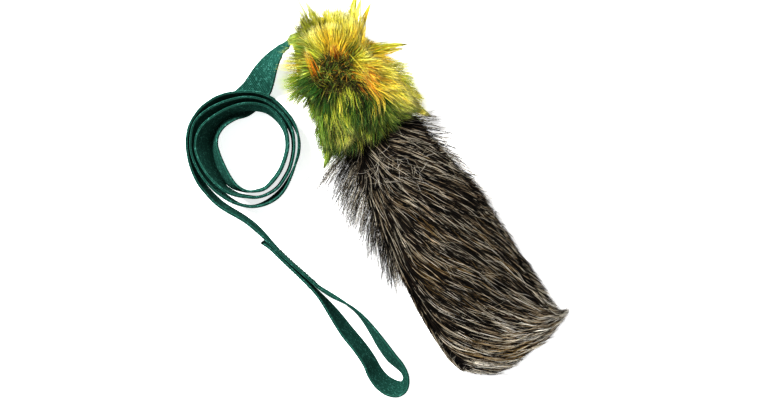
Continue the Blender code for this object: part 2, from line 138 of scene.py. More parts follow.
# ------------------------------------------------------------------ node tools
class Shader:
    """A small builder of node materials."""

    def __init__(self, name):
        self.m = bpy.data.materials.new(name)
        self.m.use_nodes = True
        self.t = self.m.node_tree
        self.p = self.t.nodes["Principled BSDF"]

    def node(self, kind, **values):
        n = self.t.nodes.new(kind)
        for k, v in values.items():
            setattr(n, k, v)
        return n

    def link(self, a, b):
        self.t.links.new(a, b)

    def put(self, socket, value):
        if isinstance(value, bpy.types.NodeSocket):
            self.link(value, socket)
        else:
            socket.default_value = value

    def math(self, op, a, b=None, c=None, clamp=False):
        n = self.node("ShaderNodeMath", operation=op, use_clamp=clamp)
        self.put(n.inputs[0], a)
        if b is not None:
            self.put(n.inputs[1], b)
        if c is not None:
            self.put(n.inputs[2], c)
        return n.outputs[0]

    def uv(self, name):
        n = self.node("ShaderNodeUVMap", uv_map=name)
        s = self.node("ShaderNodeSeparateXYZ")
        self.link(n.outputs[0], s.inputs[0])
        return s.outputs[0], s.outputs[1]

    def place(self):
        """The object's own coordinates, which stay with it in every pose."""
        return self.node("ShaderNodeTexCoord").outputs["Object"]

    def noise(self, vector, scale, detail=3.0, rough=0.55, distort=0.0, dims="3D"):
        n = self.node("ShaderNodeTexNoise", noise_dimensions=dims)
        self.link(vector, n.inputs["Vector"])
        n.inputs["Scale"].default_value = scale
        n.inputs["Detail"].default_value = detail
        n.inputs["Roughness"].default_value = rough
        n.inputs["Distortion"].default_value = distort
        return n.outputs["Fac"]

    def ramp(self, fac, stops, mode="LINEAR"):
        n = self.node("ShaderNodeValToRGB")
        n.color_ramp.interpolation = mode
        e = n.color_ramp.elements
        while len(e) < len(stops):
            e.new(0.5)
        for i, (at, colour) in enumerate(stops):
            e[i].position = at
            e[i].color = (*colour, 1.0) if len(colour) == 3 else colour
        self.put(n.inputs[0], fac)
        return n.outputs[0]

    def mix(self, fac, a, b, mode="MIX"):
        n = self.node("ShaderNodeMix", data_type="RGBA", blend_type=mode)
        self.put(n.inputs[0], fac)
        for socket, v in ((n.inputs[6], a), (n.inputs[7], b)):
            if isinstance(v, bpy.types.NodeSocket):
                self.link(v, socket)
            else:
                socket.default_value = (*v, 1.0)
        return n.outputs[2]

    def scale(self, colour, factor):
        n = self.node("ShaderNodeVectorMath", operation="SCALE")
        self.put(n.inputs[0], colour)
        self.put(n.inputs[3], factor)
        return n.outputs[0]

    def combine(self, x, y, z=0.0):
        n = self.node("ShaderNodeCombineXYZ")
        for i, v in enumerate((x, y, z)):
            self.put(n.inputs[i], v)
        return n.outputs[0]

    def bump(self, height, distance, strength=1.0):
        n = self.node("ShaderNodeBump")
        n.inputs["Strength"].default_value = strength
        n.inputs["Distance"].default_value = distance
        self.link(height, n.inputs["Height"])
        self.link(n.outputs[0], self.p.inputs["Normal"])

    def set(self, **values):
        for k, v in values.items():
            socket = self.p.inputs[k.replace("_", " ")]
            if isinstance(v, tuple) and len(v) == 3:
                v = (*v, 1.0)
            self.put(socket, v)
        return self.m


def srgb(r, g, b):
    """A linear colour from 0 to 255 display values."""
    return tuple(
        c / 12.92 if c <= 0.04045 else ((c + 0.055) / 1.055) ** 2.4
        for c in (r / 255, g / 255, b / 255)
    )


# -------------------------------------------------------------- mesh from rows
def mesh_object(name, verts, faces, mat, uvs=None, smooth=True):
    """faces is an (n, 3 or 4) array; uvs gives (map name, one pair per corner)."""
    me = bpy.data.meshes.new(name)
    verts = np.asarray(verts, np.float32)
    faces = [np.asarray(f, np.int32) for f in (faces if isinstance(faces, list) else [faces])]
    faces = [f for f in faces if len(f)]
    count = sum(len(f) for f in faces)
    loops = np.concatenate([f.ravel() for f in faces])
    totals = np.concatenate([np.full(len(f), f.shape[1], np.int32) for f in faces])
    me.vertices.add(len(verts))
    me.vertices.foreach_set("co", verts.ravel())
    me.loops.add(len(loops))
    me.loops.foreach_set("vertex_index", loops)
    me.polygons.add(count)
    me.polygons.foreach_set("loop_start", np.concatenate([[0], np.cumsum(totals)[:-1]]).astype(np.int32))
    me.polygons.foreach_set("loop_total", totals)
    for map_name, at in uvs or ():
        layer = me.uv_layers.new(name=map_name)
        layer.data.foreach_set("uv", np.asarray(at, np.float32).ravel())
    me.update(calc_edges=True)
    me.validate()
    if smooth:
        me.shade_smooth()
    for m in mat if isinstance(mat, (list, tuple)) else [mat]:
        me.materials.append(m)
    ob = bpy.data.objects.new(name, me)
    bpy.context.scene.collection.objects.link(ob)
    return ob


def loft(name, rings, mat, close=True, caps=True, sharp=None, uv=None):
    """Skin over rings (rows of points). close joins each ring round."""
    r = np.asarray(rings, float)
    rows, n = r.shape[:2]
    i, j = np.meshgrid(np.arange(rows - 1), np.arange(n if close else n - 1), indexing="ij")
    k = (j + 1) % n
    faces = np.stack([i * n + j, i * n + k, (i + 1) * n + k, (i + 1) * n + j], -1).reshape(-1, 4)
    bm_faces = [faces]
    ob = mesh_object(name, r.reshape(-1, 3), bm_faces, mat)
    if close and caps:
        bm = bmesh.new()
        bm.from_mesh(ob.data)
        bm.verts.ensure_lookup_table()
        bm.faces.new([bm.verts[q] for q in range(n)][::-1])
        bm.faces.new([bm.verts[(rows - 1) * n + q] for q in range(n)])
        bmesh.ops.recalc_face_normals(bm, faces=bm.faces)
        bm.to_mesh(ob.data)
        bm.free()
        ob.data.shade_smooth()
    if sharp is not None:
        ob.data.set_sharp_from_angle(angle=math.radians(sharp))
    return ob


# ------------------------------------------------------------------ the lead
def smooth(points, step):
    """Points every step along a smooth curve, with all channels after the
    first three going along."""
    p = np.array(points, float)
    p = np.vstack([2 * p[0] - p[1], p, 2 * p[-1] - p[-2]])
    fine = []
    for i in range(1, len(p) - 2):
        p0, p1, p2, p3 = p[i - 1 : i + 3]
        for t in np.linspace(0, 1, 20, endpoint=False):
            fine.append(
                0.5 * (2 * p1 + (p2 - p0) * t + (2 * p0 - 5 * p1 + 4 * p2 - p3) * t * t
                       + (3 * p1 - p0 - 3 * p2 + p3) * t**3)
            )
    fine = np.array(fine + [p[-2]])
    along = np.concatenate([[0], np.cumsum(np.linalg.norm(np.diff(fine[:, :3], axis=0), axis=1))])
    at = np.linspace(0, along[-1], max(3, int(round(along[-1] / step)) + 1))
    return np.stack([np.interp(at, along, fine[:, k]) for k in range(p.shape[1])], 1)


def blur(values, width):
    """A running mean of two passes, with the ends held."""
    k = np.ones(width) / width
    for _ in range(2):
        padded = np.concatenate([np.full(width, values[0]), values, np.full(width, values[-1])])
        values = np.convolve(padded, k, "same")[width:-width]
    return values


MOUTH = np.array([-154.6, -31.0, 27.0]) * MM
MOUTH_DIR = np.array([0.12, -0.99, 0.0])
MOUTH_DIR /= np.linalg.norm(MOUTH_DIR)
STEP = 1.1 * MM


MOUTH_FALL = 0.25  # the webbing leaves the head sloping down


def lead_in_points():
    """From the mouth, down to the floor, flat under the coil and up on edge."""
    rows = []
    for far, roll in ((0.05, 70.0), (2.6, 67.8)):
        p = MOUTH + MOUTH_DIR * far * MM
        rows.append((p[0], p[1], p[2] - MOUTH_FALL * far * MM, roll))
    for x, y, z, roll in (
        (280.0, 51.7, 25.7, 65.0), (276.6, 55.9, 24.0, 59.0), (272.8, 61.4, 21.4, 50.0), (268.6, 68.2, 17.6, 38.0),
        (263.6, 77.2, 11.9, 22.0), (258.9, 85.8, 6.2, 9.0), (253.2, 93.8, 2.3, 1.5),
        (244.6, 101.6, 2.2, 4.0), (235.4, 108.8, 5.2, 22.0), (227.2, 116.4, 9.4, 46.0),
        (220.6, 125.6, 11.8, 66.0), (216.6, 135.0, 12.4, 76.0),
    ):
        p = grid(x, y, z * MM)
        rows.append((*p, roll))
    return rows


COIL_ROWS = [
    # the inner turn
    (214.7, 144.0, 74), (215.3, 152.0, 70), (218.5, 163.3, 66), (224.6, 174.9, 68), (232.4, 184.0, 75),
    (240.4, 189.0, 84), (248.0, 191.2, 89), (256.0, 190.8, 93), (264.6, 188.3, 96), (272.0, 181.5, 98),
    (279.2, 171.8, 98), (284.0, 160.9, 98), (286.9, 150.0, 98), (287.3, 142.0, 98), (286.0, 133.0, 98),
    (282.2, 124.3, 99), (275.4, 115.8, 100), (267.3, 110.0, 100), (257.6, 107.4, 100),
    (247.9, 107.1, 100),
    # the second turn
    (238.0, 109.3, 101), (228.5, 113.8, 104), (218.8, 120.4, 108), (209.9, 128.6, 113),
    (205.6, 137.0, 117), (204.2, 146.0, 118), (205.0, 153.0, 117), (208.2, 163.0, 112),
    (214.8, 175.4, 105), (224.8, 187.2, 97), (236.0, 194.0, 94), (247.9, 196.6, 92), (257.6, 197.2, 92),
    (267.6, 194.0, 94), (277.2, 187.6, 96), (284.4, 177.9, 97), (289.9, 167.0, 97),
    (293.2, 152.0, 97), (293.2, 139.0, 97), (290.8, 129.4, 98), (285.0, 119.6, 99),
    (276.6, 111.0, 100), (267.3, 104.8, 100), (257.6, 101.5, 100), (247.9, 100.8, 100),
    # the third turn
    (238.2, 102.2, 100), (226.2, 105.6, 100), (212.0, 112.2, 100), (202.2, 119.4, 100),
    (197.0, 127.4, 100), (194.9, 139.0, 100), (195.2, 151.2, 100), (198.8, 163.3, 99),
    (206.0, 176.7, 98), (215.2, 187.8, 96), (222.8, 194.6, 94), (231.5, 200.6, 92),
    (240.9, 204.7, 90), (252.7, 206.4, 92), (264.8, 203.3, 97), (275.8, 196.7, 101),
    (284.2, 187.6, 100), (291.5, 174.2, 96), (296.4, 160.9, 93), (298.8, 151.2, 92),
    (299.0, 140.0, 92), (296.8, 130.8, 94), (292.2, 121.6, 96), (284.9, 112.8, 98),
    (276.8, 105.2, 100), (268.4, 99.6, 100), (257.6, 96.0, 100), (247.9, 95.3, 100),
    # the outer arc and the run to the lap
    (237.1, 96.0, 100), (226.4, 98.0, 100), (215.8, 102.2, 99), (205.0, 109.0, 97),
    (197.1, 117.8, 95), (192.1, 127.4, 95), (189.9, 139.0, 95), (190.3, 151.2, 95),
    (193.3, 165.8, 95), (200.0, 181.5, 95), (209.0, 193.0, 96), (218.8, 202.7, 97),
    (229.0, 209.7, 97), (239.7, 215.8, 96), (248.5, 221.6, 95), (256.0, 227.8, 95),
    (263.5, 235.0, 93), (271.0, 243.1, 91), (278.6, 251.0, 90), (286.4, 258.4, 89),
    (294.6, 265.8, 89), (302.6, 272.8, 89), (310.6, 279.9, 89), (318.4, 287.0, 89),
]

LOOP_HINGE = grid(317.0, 289.2, 12.5 * MM)
LAP_DIR = LOOP_HINGE - grid(303.0, 277.6, 12.5 * MM)
LAP_DIR /= np.linalg.norm(LAP_DIR)
LAP_LEFT = np.cross([0, 0, 1.0], LAP_DIR)


def edge_height(roll):
    r = math.radians(roll)
    return STRAP_W / 2 * abs(math.sin(r)) + STRAP_T / 2 * abs(math.cos(r))


def standing(x, y, roll):
    z = edge_height(roll)
    p = grid(x, y, z)
    return (p[0], p[1], z, roll)


LOOP_ROWS = [
    (318.4, 287.0, 89), (325.6, 291.6, 90), (333.5, 296.4, 90), (345.5, 303.2, 86), (356.8, 311.6, 83), (366.0, 321.7, 79),
    (374.2, 332.8, 74), (382.9, 345.8, 69), (391.5, 357.5, 68), (399.0, 365.2, 72),
    (404.6, 373.0, 79), (406.2, 381.0, 82), (403.2, 387.0, 75), (397.5, 389.0, 66),
    (389.6, 387.0, 61), (381.2, 381.0, 61), (374.5, 372.1, 63), (370.0, 362.9, 66),
    (365.0, 354.7, 67), (357.3, 344.3, 68), (347.1, 331.9, 69), (337.3, 318.4, 73),
    (328.1, 306.0, 80), (320.2, 296.2, 86), (311.8, 287.2, 89), (303.6, 279.2, 90), (295.4, 271.2, 90),
    (287.0, 263.3, 90), (278.6, 255.2, 90), (270.7, 247.6, 89), (262.6, 241.4, 87),
]


def axes_of(stations):
    """Per station: centre, tangent, width direction and face direction."""
    s = np.asarray(stations, float)
    t = np.gradient(s[:, :3], axis=0)
    t /= np.linalg.norm(t, axis=1)[:, None]
    left = np.cross([0, 0, 1.0], t)
    left /= np.linalg.norm(left, axis=1)[:, None]
    up = np.cross(t, left)
    r = np.radians(s[:, 3])[:, None]
    return s[:, :3], t, left * np.cos(r) + up * np.sin(r), -left * np.sin(r) + up * np.cos(r)


def main_route():
    """The webbing from the mouth to the loop's hinge, one smooth route."""
    rows = lead_in_points()
    rows += [standing(*r) for r in COIL_ROWS]
    s = smooth(rows, STEP)
    # The turns stand on the flat stretch that passes under them.
    c, t, w, m = axes_of(s)
    along = np.arange(len(s)) * STEP
    first = along < 0.19
    cloud = np.concatenate(
        [c[first] + w[first] * q * STRAP_W / 2 + np.array([0, 0, STRAP_T / 2]) for q in np.linspace(-1, 1, 13)]
    )
    low = c - w * np.where(w[:, 2:3] >= 0, 1, -1) * (STRAP_W / 2)
    lift = np.zeros(len(s))
    for i in np.nonzero(along > 0.22)[0]:
        d = np.hypot(cloud[:, 0] - low[i, 0], cloud[:, 1] - low[i, 1])
        near = cloud[d < 2.6 * MM, 2]
        if len(near):
            lift[i] = min(near.max() + 0.4 * MM, 6.0 * MM)
    lift = np.maximum(blur(lift, 9), blur(lift, 21))
    s[:, 2] += lift
    return s


ROUTE = main_route()


def tail_route():
    """The hand loop and the cut end that is lapped back on the run."""
    return smooth([standing(*r) for r in LOOP_ROWS], STEP)


TAIL_ROUTE = tail_route()


def section(ribs=9):
    """A cross-section of the webbing: (across, out, position round it in mm)
    with low ribs on both faces and rounded, slightly thicker selvedges."""
    pts = []
    half, body = STRAP_W / 2, STRAP_T / 2 - 0.16 * MM
    edge = 1.15 * MM
    n = ribs * 4
    for k in range(n + 1):
        q = 1 - 2 * k / n
        rib = 0.11 * MM * abs(math.cos(math.pi * ribs * (q + 1) / 2))
        pts.append((q * (half - edge), body - 0.11 * MM + rib))
    for k in range(1, 8):
        a = math.pi / 2 - math.pi * k / 8
        pts.append((-(half - edge) - edge * math.cos(a), (STRAP_T / 2) * math.sin(a)))
    for k in range(n + 1):
        q = -1 + 2 * k / n
        rib = 0.11 * MM * abs(math.cos(math.pi * ribs * (q + 1) / 2))
        pts.append((q * (half - edge), -body + 0.11 * MM - rib))
    for k in range(1, 8):
        a = -math.pi / 2 + math.pi * k / 8
        pts.append((half - edge + edge * math.cos(a), (STRAP_T / 2) * math.sin(a)))
    return np.array(pts)


SECTION = section()
_round = np.concatenate([[0], np.cumsum(np.linalg.norm(np.diff(np.vstack([SECTION, SECTION[:1]]), axis=0), axis=1))])


def ribbon(name, stations, mat, start_mm=0.0, melted=False):
    """A closed webbing mesh. Its map "weave" holds millimetres along and
    round it; its map "OFBake" lays it out in strips."""
    c, t, w, m = axes_of(stations)
    n, rows = len(SECTION), len(stations)
    across, out = SECTION[:, 0], SECTION[:, 1]
    squeeze = np.ones(rows)
    if melted:
        d = (rows - 1 - np.arange(rows)) * STEP
        squeeze = 1 - 0.06 * np.exp(-d / (1.2 * MM))
    p = (
        c[:, None]
        + w[:, None] * (across[None, :, None] * squeeze[:, None, None])
        + m[:, None] * out[None, :, None]
    )
    verts = p.reshape(-1, 3)
    i, j = np.meshgrid(np.arange(rows - 1), np.arange(n), indexing="ij")
    k = (j + 1) % n
    quads = np.stack([i * n + j, (i + 1) * n + j, (i + 1) * n + k, i * n + k], -1).reshape(-1, 4)
    along = start_mm + np.arange(rows) * STEP / MM
    cu = along[np.stack([i, i + 1, i + 1, i], -1).reshape(-1, 4)]
    cv = (_round / MM)[np.stack([j, j, j + 1, j + 1], -1).reshape(-1, 4)]
    # strips of the baking map
    rel = cu - start_mm
    per = 90.0
    strips = int(math.ceil((rows * STEP / MM) / per))
    strip = np.floor((rel.min(1) + 1e-6) / per)[:, None]
    bu = 0.01 + 0.98 * (rel - strip * per) / (per + STEP / MM)
    bv = (strip + 0.03 + 0.94 * cv / (_round[-1] / MM)) / strips
    # end caps: fans round a middle vertex
    mids = np.array([c[0], c[-1]])
    v0 = len(verts)
    verts = np.vstack([verts, mids])
    jj = np.arange(n)
    kk = (jj + 1) % n
    cap0 = np.stack([np.full(n, v0), jj, kk], -1)
    base = (rows - 1) * n
    cap1 = np.stack([np.full(n, v0 + 1), base + kk, base + jj], -1)
    tri = np.vstack([cap0, cap1])
    tri_u = np.full(tri.shape, 0.0)
    tri_u[:n], tri_u[n:] = along[0], along[-1]
    tri_v = np.stack([np.full(n, 6.0), (_round / MM)[jj], (_round / MM)[kk]], -1)
    tri_v = np.vstack([tri_v, tri_v[:, [0, 2, 1]]])
    tri_bu = np.where(tri_u == along[0], 0.004, 0.997) + 0.002 * (tri_v > 6.0)
    tri_bv = 0.2 + 0.3 * tri_v / 60.0
    weave = np.concatenate([np.stack([cu, cv], -1).reshape(-1, 2), np.stack([tri_u, tri_v], -1).reshape(-1, 2)])
    bake = np.concatenate([np.stack([bu, bv], -1).reshape(-1, 2), np.stack([tri_bu, tri_bv], -1).reshape(-1, 2)])
    return mesh_object(name, verts, [quads, tri], mat, uvs=[("weave", weave), ("OFBake", bake)])


def webbing_material(name, melted_end=None):
    s = Shader(name)
    u, v = s.uv("weave")
    across = 1.45
    col = s.math("FLOOR", s.math("DIVIDE", v, across))
    fa = s.math("FRACT", s.math("DIVIDE", v, across))
    odd = s.math("MODULO", col, 2.0)
    lean = s.math("MULTIPLY", s.math("SUBTRACT", s.math("MULTIPLY", odd, 2.0), 1.0), s.math("SUBTRACT", fa, 0.5))
    b = s.math("ADD", s.math("DIVIDE", u, 1.05), s.math("MULTIPLY", lean, 0.9))
    yarn = s.math("SINE", s.math("MULTIPLY", fa, math.pi))
    weft = s.math("MULTIPLY_ADD", s.math("SINE", s.math("MULTIPLY", b, 2 * math.pi)), 0.5, 0.5)
    height = s.math("MULTIPLY", s.math("POWER", yarn, 0.7), s.math("MULTIPLY_ADD", weft, 0.55, 0.45))
    cell = s.node("ShaderNodeTexWhiteNoise", noise_dimensions="2D")
    s.link(s.combine(s.math("FLOOR", b), col), cell.inputs["Vector"])
    where = s.place()
    broad = s.noise(where, 60.0, 2.0)
    fine = s.noise(where, 1400.0, 3.0, 0.7)
    # the colour follows the weave's height: painted shade in the grooves between the yarns, lighter on the crests
    body = s.ramp(height, [(0.0, srgb(7, 20, 17)), (0.45, srgb(26, 64, 55)), (1.0, srgb(53, 110, 97))])
    bright = s.math("MULTIPLY_ADD", cell.outputs["Value"], 0.34, 0.83)
    bright = s.math("MULTIPLY", bright, s.math("MULTIPLY_ADD", broad, 0.35, 0.82))
    colour = s.scale(body, bright)
    # painted glint: light specks where the fibres catch the light, mixed into the colour
    painted_glint = s.math("GREATER_THAN", s.math("MULTIPLY_ADD", fine, 0.6, s.math("MULTIPLY", cell.outputs["Value"], 0.4)), 0.68)
    colour = s.mix(s.math("MULTIPLY", painted_glint, 0.5), colour, srgb(96, 158, 146))
    # selvedges: a painted highlight on the outermost yarns along each edge, where they catch more light
    total = float(_round[-1] / MM)
    side = s.math("PINGPONG", s.math("ADD", v, 1.6), total / 2)
    edge = s.math("MULTIPLY", s.math("LESS_THAN", side, 2.2), s.math("GREATER_THAN", side, 0.9))
    colour = s.mix(s.math("MULTIPLY", edge, 0.3), colour, srgb(70, 120, 106))
    if melted_end is not None:
        burnt = s.node("ShaderNodeMapRange")
        s.link(u, burnt.inputs[0])
        burnt.inputs[1].default_value = melted_end - 3.2
        burnt.inputs[2].default_value = melted_end - 1.4
        colour = s.mix(burnt.outputs[0], colour, srgb(10, 16, 14))
    s.bump(s.math("MULTIPLY_ADD", fine, 0.25, height), 0.00022, 0.9)
    return s.set(Base_Color=colour, Roughness=s.math("MULTIPLY_ADD", fine, -0.18, 0.66), Sheen_Weight=0.05,
                 Sheen_Roughness=0.4, Sheen_Tint=(0.25, 0.85, 0.66), Specular_IOR_Level=0.0)


WEBBING = webbing_material("webbing_green")


def cord_length(stations):
    return float(np.linalg.norm(np.diff(stations[:, :3], axis=0), axis=1).sum())


def cut_route(route, breaks):
    """Stretches between arc lengths in metres, sharing their end stations."""
    idx = [0] + [int(round(b / STEP)) for b in breaks] + [len(route) - 1]
    return [route[a : b + 1] for a, b in zip(idx, idx[1:])], idx


def build_lead():
    total = cord_length(ROUTE)
    # breaks: after the dive, then one turn each
    stretches, idx = cut_route(ROUTE, (0.176, 0.390, 0.638, 0.874))
    names = ["lead_in", "lead_turn_inner", "lead_turn_middle", "lead_turn_outer", "lead_run"]
    nodes = [["strap_lead_in"], ["strap_coil"], ["strap_coil"], ["strap_coil"], ["strap_coil", "strap_run"]]
    out = []
    for k, (name, st) in enumerate(zip(names, stretches)):
        ob = ribbon(name, st, WEBBING, start_mm=idx[k] * STEP / MM)
        if k == 0:
            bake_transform(ob)
        else:
            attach(ob, "lead")
        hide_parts(*nodes[k])
        out.append((ob, st))
    loop = ribbon("hand_loop", TAIL_ROUTE, webbing_material("webbing_green_end", melted_end=cord_length(TAIL_ROUTE) / MM + 1400.0),
                  start_mm=1400.0, melted=True)
    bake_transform(loop)
    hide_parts("handle_loop", "strap_end_lap")
    out.append((loop, TAIL_ROUTE))
    return out


LEAD = build_lead()


def lap_sewing():
    """Running stitches in a crossed box on both outer faces of the lap, and
    a dense bar tack at the loop's end of it."""
    s = Shader("lap_thread")
    f = s.noise(s.place(), 2400.0, 2.0, 0.6, 0.8)
    s.bump(f, 0.00015, 0.8)
    s.set(Base_Color=s.ramp(f, [(0.3, srgb(6, 44, 36)), (0.7, srgb(28, 104, 84))]), Roughness=0.5)
    hinge = float(LOOP_HINGE @ LAP_DIR)

    def face(route, outward, back, q):
        """A point on a face: millimetres back from the hinge, and across."""
        c, t, w, m = route
        i = int(np.abs((hinge - c @ LAP_DIR) / MM - back).argmin())
        k = 1 if m[i] @ LAP_LEFT * outward > 0 else -1
        up = w[i] if w[i][2] > 0 else -w[i]
        rest = (hinge - c[i] @ LAP_DIR) / MM - back
        return c[i] + LAP_DIR * rest * MM + up * q * MM + m[i] * k * (STRAP_T / 2), m[i] * k

    def thread(path, out, radius):
        t = np.gradient(path, axis=0)
        t /= np.linalg.norm(t, axis=1)[:, None] + 1e-12
        u = np.cross(t, out)
        u /= np.linalg.norm(u, axis=1)[:, None] + 1e-12
        v = np.cross(t, u)
        return np.stack([path + radius * (math.cos(q) * u + math.sin(q) * v) for q in np.arange(6) * math.pi / 3], 1)

    run = axes_of(ROUTE[-70:])
    lap = axes_of(TAIL_ROUTE[-90:])
    made = []
    middle = {n: float(np.mean([list(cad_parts[n].matrix_world @ Vector(b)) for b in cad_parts[n].bound_box], 0) @ LAP_LEFT)
              for n in ("lap_box_stitch_left", "lap_box_stitch_right")}
    order = sorted(middle, key=middle.get)
    for name, route, outward, node in (("lap_stitches_outer", lap, -1, order[0]), ("lap_stitches_inner", run, 1, order[1])):
        verts, faces, base = [], [], 0
        corners = [(12.5, -8.2), (45.5, -8.2), (45.5, 8.2), (12.5, 8.2), (12.5, -8.2)]
        lines = list(zip(corners, corners[1:])) + [((12.5, -8.2), (45.5, 8.2)), ((12.5, 8.2), (45.5, -8.2))]
        for (b0, q0), (b1, q1) in lines:
            size = math.hypot(b1 - b0, q1 - q0)
            n = max(2, int(round(size / 3.1)))
            for k in range(n):
                pts, outs = [], None
                for e in np.linspace(0.06, 0.86, 6):
                    f0 = (k + e) / n
                    point, outs = face(route, outward, b0 + (b1 - b0) * f0, q0 + (q1 - q0) * f0)
                    g = (e - 0.06) / 0.80
                    pts.append(point + outs * (0.36 * math.sin(math.pi * g) - 0.16) * MM)
                ring = thread(np.array(pts), outs, 0.30 * MM)
                verts.append(ring.reshape(-1, 3))
                i, j = np.meshgrid(np.arange(5), np.arange(6), indexing="ij")
                jj = (j + 1) % 6
                faces.append(base + np.stack([i * 6 + j, (i + 1) * 6 + j, (i + 1) * 6 + jj, i * 6 + jj], -1).reshape(-1, 4))
                base += 36
        ob = mesh_object(name, np.vstack(verts), [np.vstack(faces)], s.m)
        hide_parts(node)
        made.append(ob)
    for name, route, outward in (("lap_tack_outer", lap, -1), ("lap_tack_inner", run, 1)):
        pts = []
        for k in range(37):
            point, outs = face(route, outward, 6.5 + (1.4 if k % 2 else -1.4), -9.6 + 19.2 * k / 36)
            pts.append(point + outs * 0.16 * MM)
        ob = loft(name, thread(np.array(pts), outs, 0.30 * MM), s.m)
        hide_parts("lap_bar_tack")
        made.append(ob)
    for ob in made:
        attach(ob, "lead")
    return made


LAP_SEWING = lap_sewing()


# ------------------------------------------------------------- shapes of the fur
rng = np.random.default_rng(4301)


def table(x, rows):
    """Smooth values from rows of (x, value), in millimetres; takes arrays."""
    xs = np.array([r[0] for r in rows]) * MM
    vs = np.array([r[1] for r in rows]) * MM
    x = np.asarray(x, float)
    i = np.clip(np.searchsorted(xs, x) - 1, 0, len(xs) - 2)
    h = xs[i + 1] - xs[i]
    t = np.clip((x - xs[i]) / h, 0, 1)
    slope = np.zeros(len(xs))
    slope[1:-1] = (vs[2:] - vs[:-2]) / (xs[2:] - xs[:-2])
    return (
        vs[i] * (2 * t**3 - 3 * t * t + 1) + vs[i + 1] * (3 * t * t - 2 * t**3)
        + slope[i] * h * (t**3 - 2 * t * t + t) + slope[i + 1] * h * (t**3 - t * t)
    )


def signed(v, p):
    return np.sign(v) * np.abs(v) ** p


SQUARE = 0.82
FULL = 2 / SQUARE
HALF_WIDTH = [(-172.5, 2.0), (-168, 14), (-158, 25.5), (-145, 35), (-128, 42.5), (-108, 46.5), (-88, 48), (-66, 47.5)]
RISE = [(-172.5, 1.5), (-168, 11), (-158, 20.5), (-145, 26.5), (-125, 30), (-105, 30), (-85, 26), (-66, 19.5)]
DROP = [(-172.5, 1.5), (-168, 11), (-158, 20.5), (-145, 27.5), (-125, 30), (-105, 30), (-85, 26), (-66, 17.5)]
SEAM_Z = [(-172.5, 29), (-145, 28.5), (-125, 28), (-105, 26.5), (-85, 21.5), (-66, 16.0)]
TAIL_H = [(-62.4, 15.5), (-46.9, 15.5), (20, 14.8), (43.2, 14.5), (72, 14.5), (110, 13.4), (140, 11.5), (158, 9), (167, 7), (172.5, 4.2)]
TAIL_LEFT = [(-62, -30), (-55, -31), (-30, -33), (-5, -36), (20, -41), (45, -45), (75, -47), (130, -47.5), (150, -44), (162, -36), (168, -22)]
TAIL_RIGHT = [(-62, 26), (-47, 29.5), (-12, 37), (32, 42), (66, 43.5), (100, 43), (140, 43), (158, 39), (168, 26)]
TAIL_FRONT, TAIL_TIP, TAIL_CUT = -61.5 * MM, 168.0 * MM, 0.0
FOLD_X, BEND_X = -46.9 * MM, 58.0 * MM
BARE_HEAD = 12.5 * MM       # how far the skin lies inside the fur
BARE_TAIL = 4.0 * MM


def head_section(x, inset_body, inset_neck, x0, close, side):
    x = np.asarray(x, float)
    inset = inset_body + (inset_neck - inset_body) * np.clip((x / MM + 95.0) / 29.0, 0, 1)
    f = np.sqrt(np.maximum(1 - (1 - np.clip((x - x0) / close, 0, 1)) ** 2, 4e-4))
    w = np.maximum(table(x, HALF_WIDTH) - inset, 0.5 * MM) * f
    h = np.maximum(table(x, RISE if side > 0 else DROP) - inset, 0.5 * MM) * f
    return w, h, table(x, SEAM_Z)


SKIN_X0 = HEAD_X0 + 11.5 * MM


def head_grid(side, rows, cols, inset_body=BARE_HEAD, inset_neck=5.0 * MM, x0=SKIN_X0, close=11 * MM, lift=0.9 * MM, power=1.4):
    x = x0 + (HEAD_X1 - x0) * np.linspace(0, 1, rows) ** power
    w, h, z0 = head_section(x, inset_body, inset_neck, x0, close, side)
    a = np.pi * np.arange(cols) / (cols - 1)
    y = HEAD_Y + w[:, None] * signed(np.cos(a), SQUARE)[None]
    z = z0[:, None] + side * (lift + h[:, None] * np.abs(np.sin(a))[None] ** SQUARE)
    return np.stack([np.repeat(x[:, None], cols, 1), y, z], -1)


def tail_section(x):
    """Middle, half width, middle height and half height of the tail's skin."""
    x = np.asarray(x, float)
    yl, yr = table(x, TAIL_LEFT), table(x, TAIL_RIGHT)
    z0 = table(x, TAIL_H)
    nose = np.sqrt(np.maximum(15.5**2 - np.minimum((x - FOLD_X) / MM, 0) ** 2, 0)) * MM
    full = np.minimum(z0, nose)
    h = np.maximum(full - BARE_TAIL, np.minimum(0.45 * full, 3 * MM))
    h = np.maximum(h, 2.1 * MM)
    return (yl + yr) / 2, (yr - yl) / 2, z0, h


def tail_height(x, y):
    """The height that fur lies at over the tail, falling away beside it."""
    yc, w, z0, h = tail_section(x)
    d = np.abs(y - yc) - w
    r = np.clip(1 + d / w, 0, 1)
    over = np.where(d < 0, z0 + h * (1 - r**FULL) ** (1 / FULL), z0 * np.exp(-((np.maximum(d, 0) / (15 * MM)) ** 2)))
    past = np.maximum(x - TAIL_TIP, 0)
    return over * np.exp(-((past / (14 * MM)) ** 2)) + 0.4 * MM


def head_height(x, y):
    w, h, z0 = head_section(np.clip(x, SKIN_X0, HEAD_X1), BARE_HEAD, 5 * MM, SKIN_X0, 11 * MM, 1)
    r = np.abs(y - HEAD_Y) / w
    inside = (r < 1) & (x > SKIN_X0) & (x < HEAD_X1)
    return np.where(inside, z0 + 0.9 * MM + h * (1 - np.clip(r, 0, 1) ** FULL) ** (1 / FULL), 0.0)


def flow_at(gx, gy, flow, near=5.0):
    """The direction on the grid, from control rows of (x, y, degrees)."""
    c = np.array(flow, float)
    a = np.radians(c[:, 2])
    d2 = (gx[:, None] - c[None, :, 0]) ** 2 + (gy[:, None] - c[None, :, 1]) ** 2
    w = 1 / (d2 + near * near) ** 2
    return np.arctan2((w * np.sin(a)).sum(1), (w * np.cos(a)).sum(1))


_waves = rng.uniform(0, 2 * np.pi, (8, 8, 2))


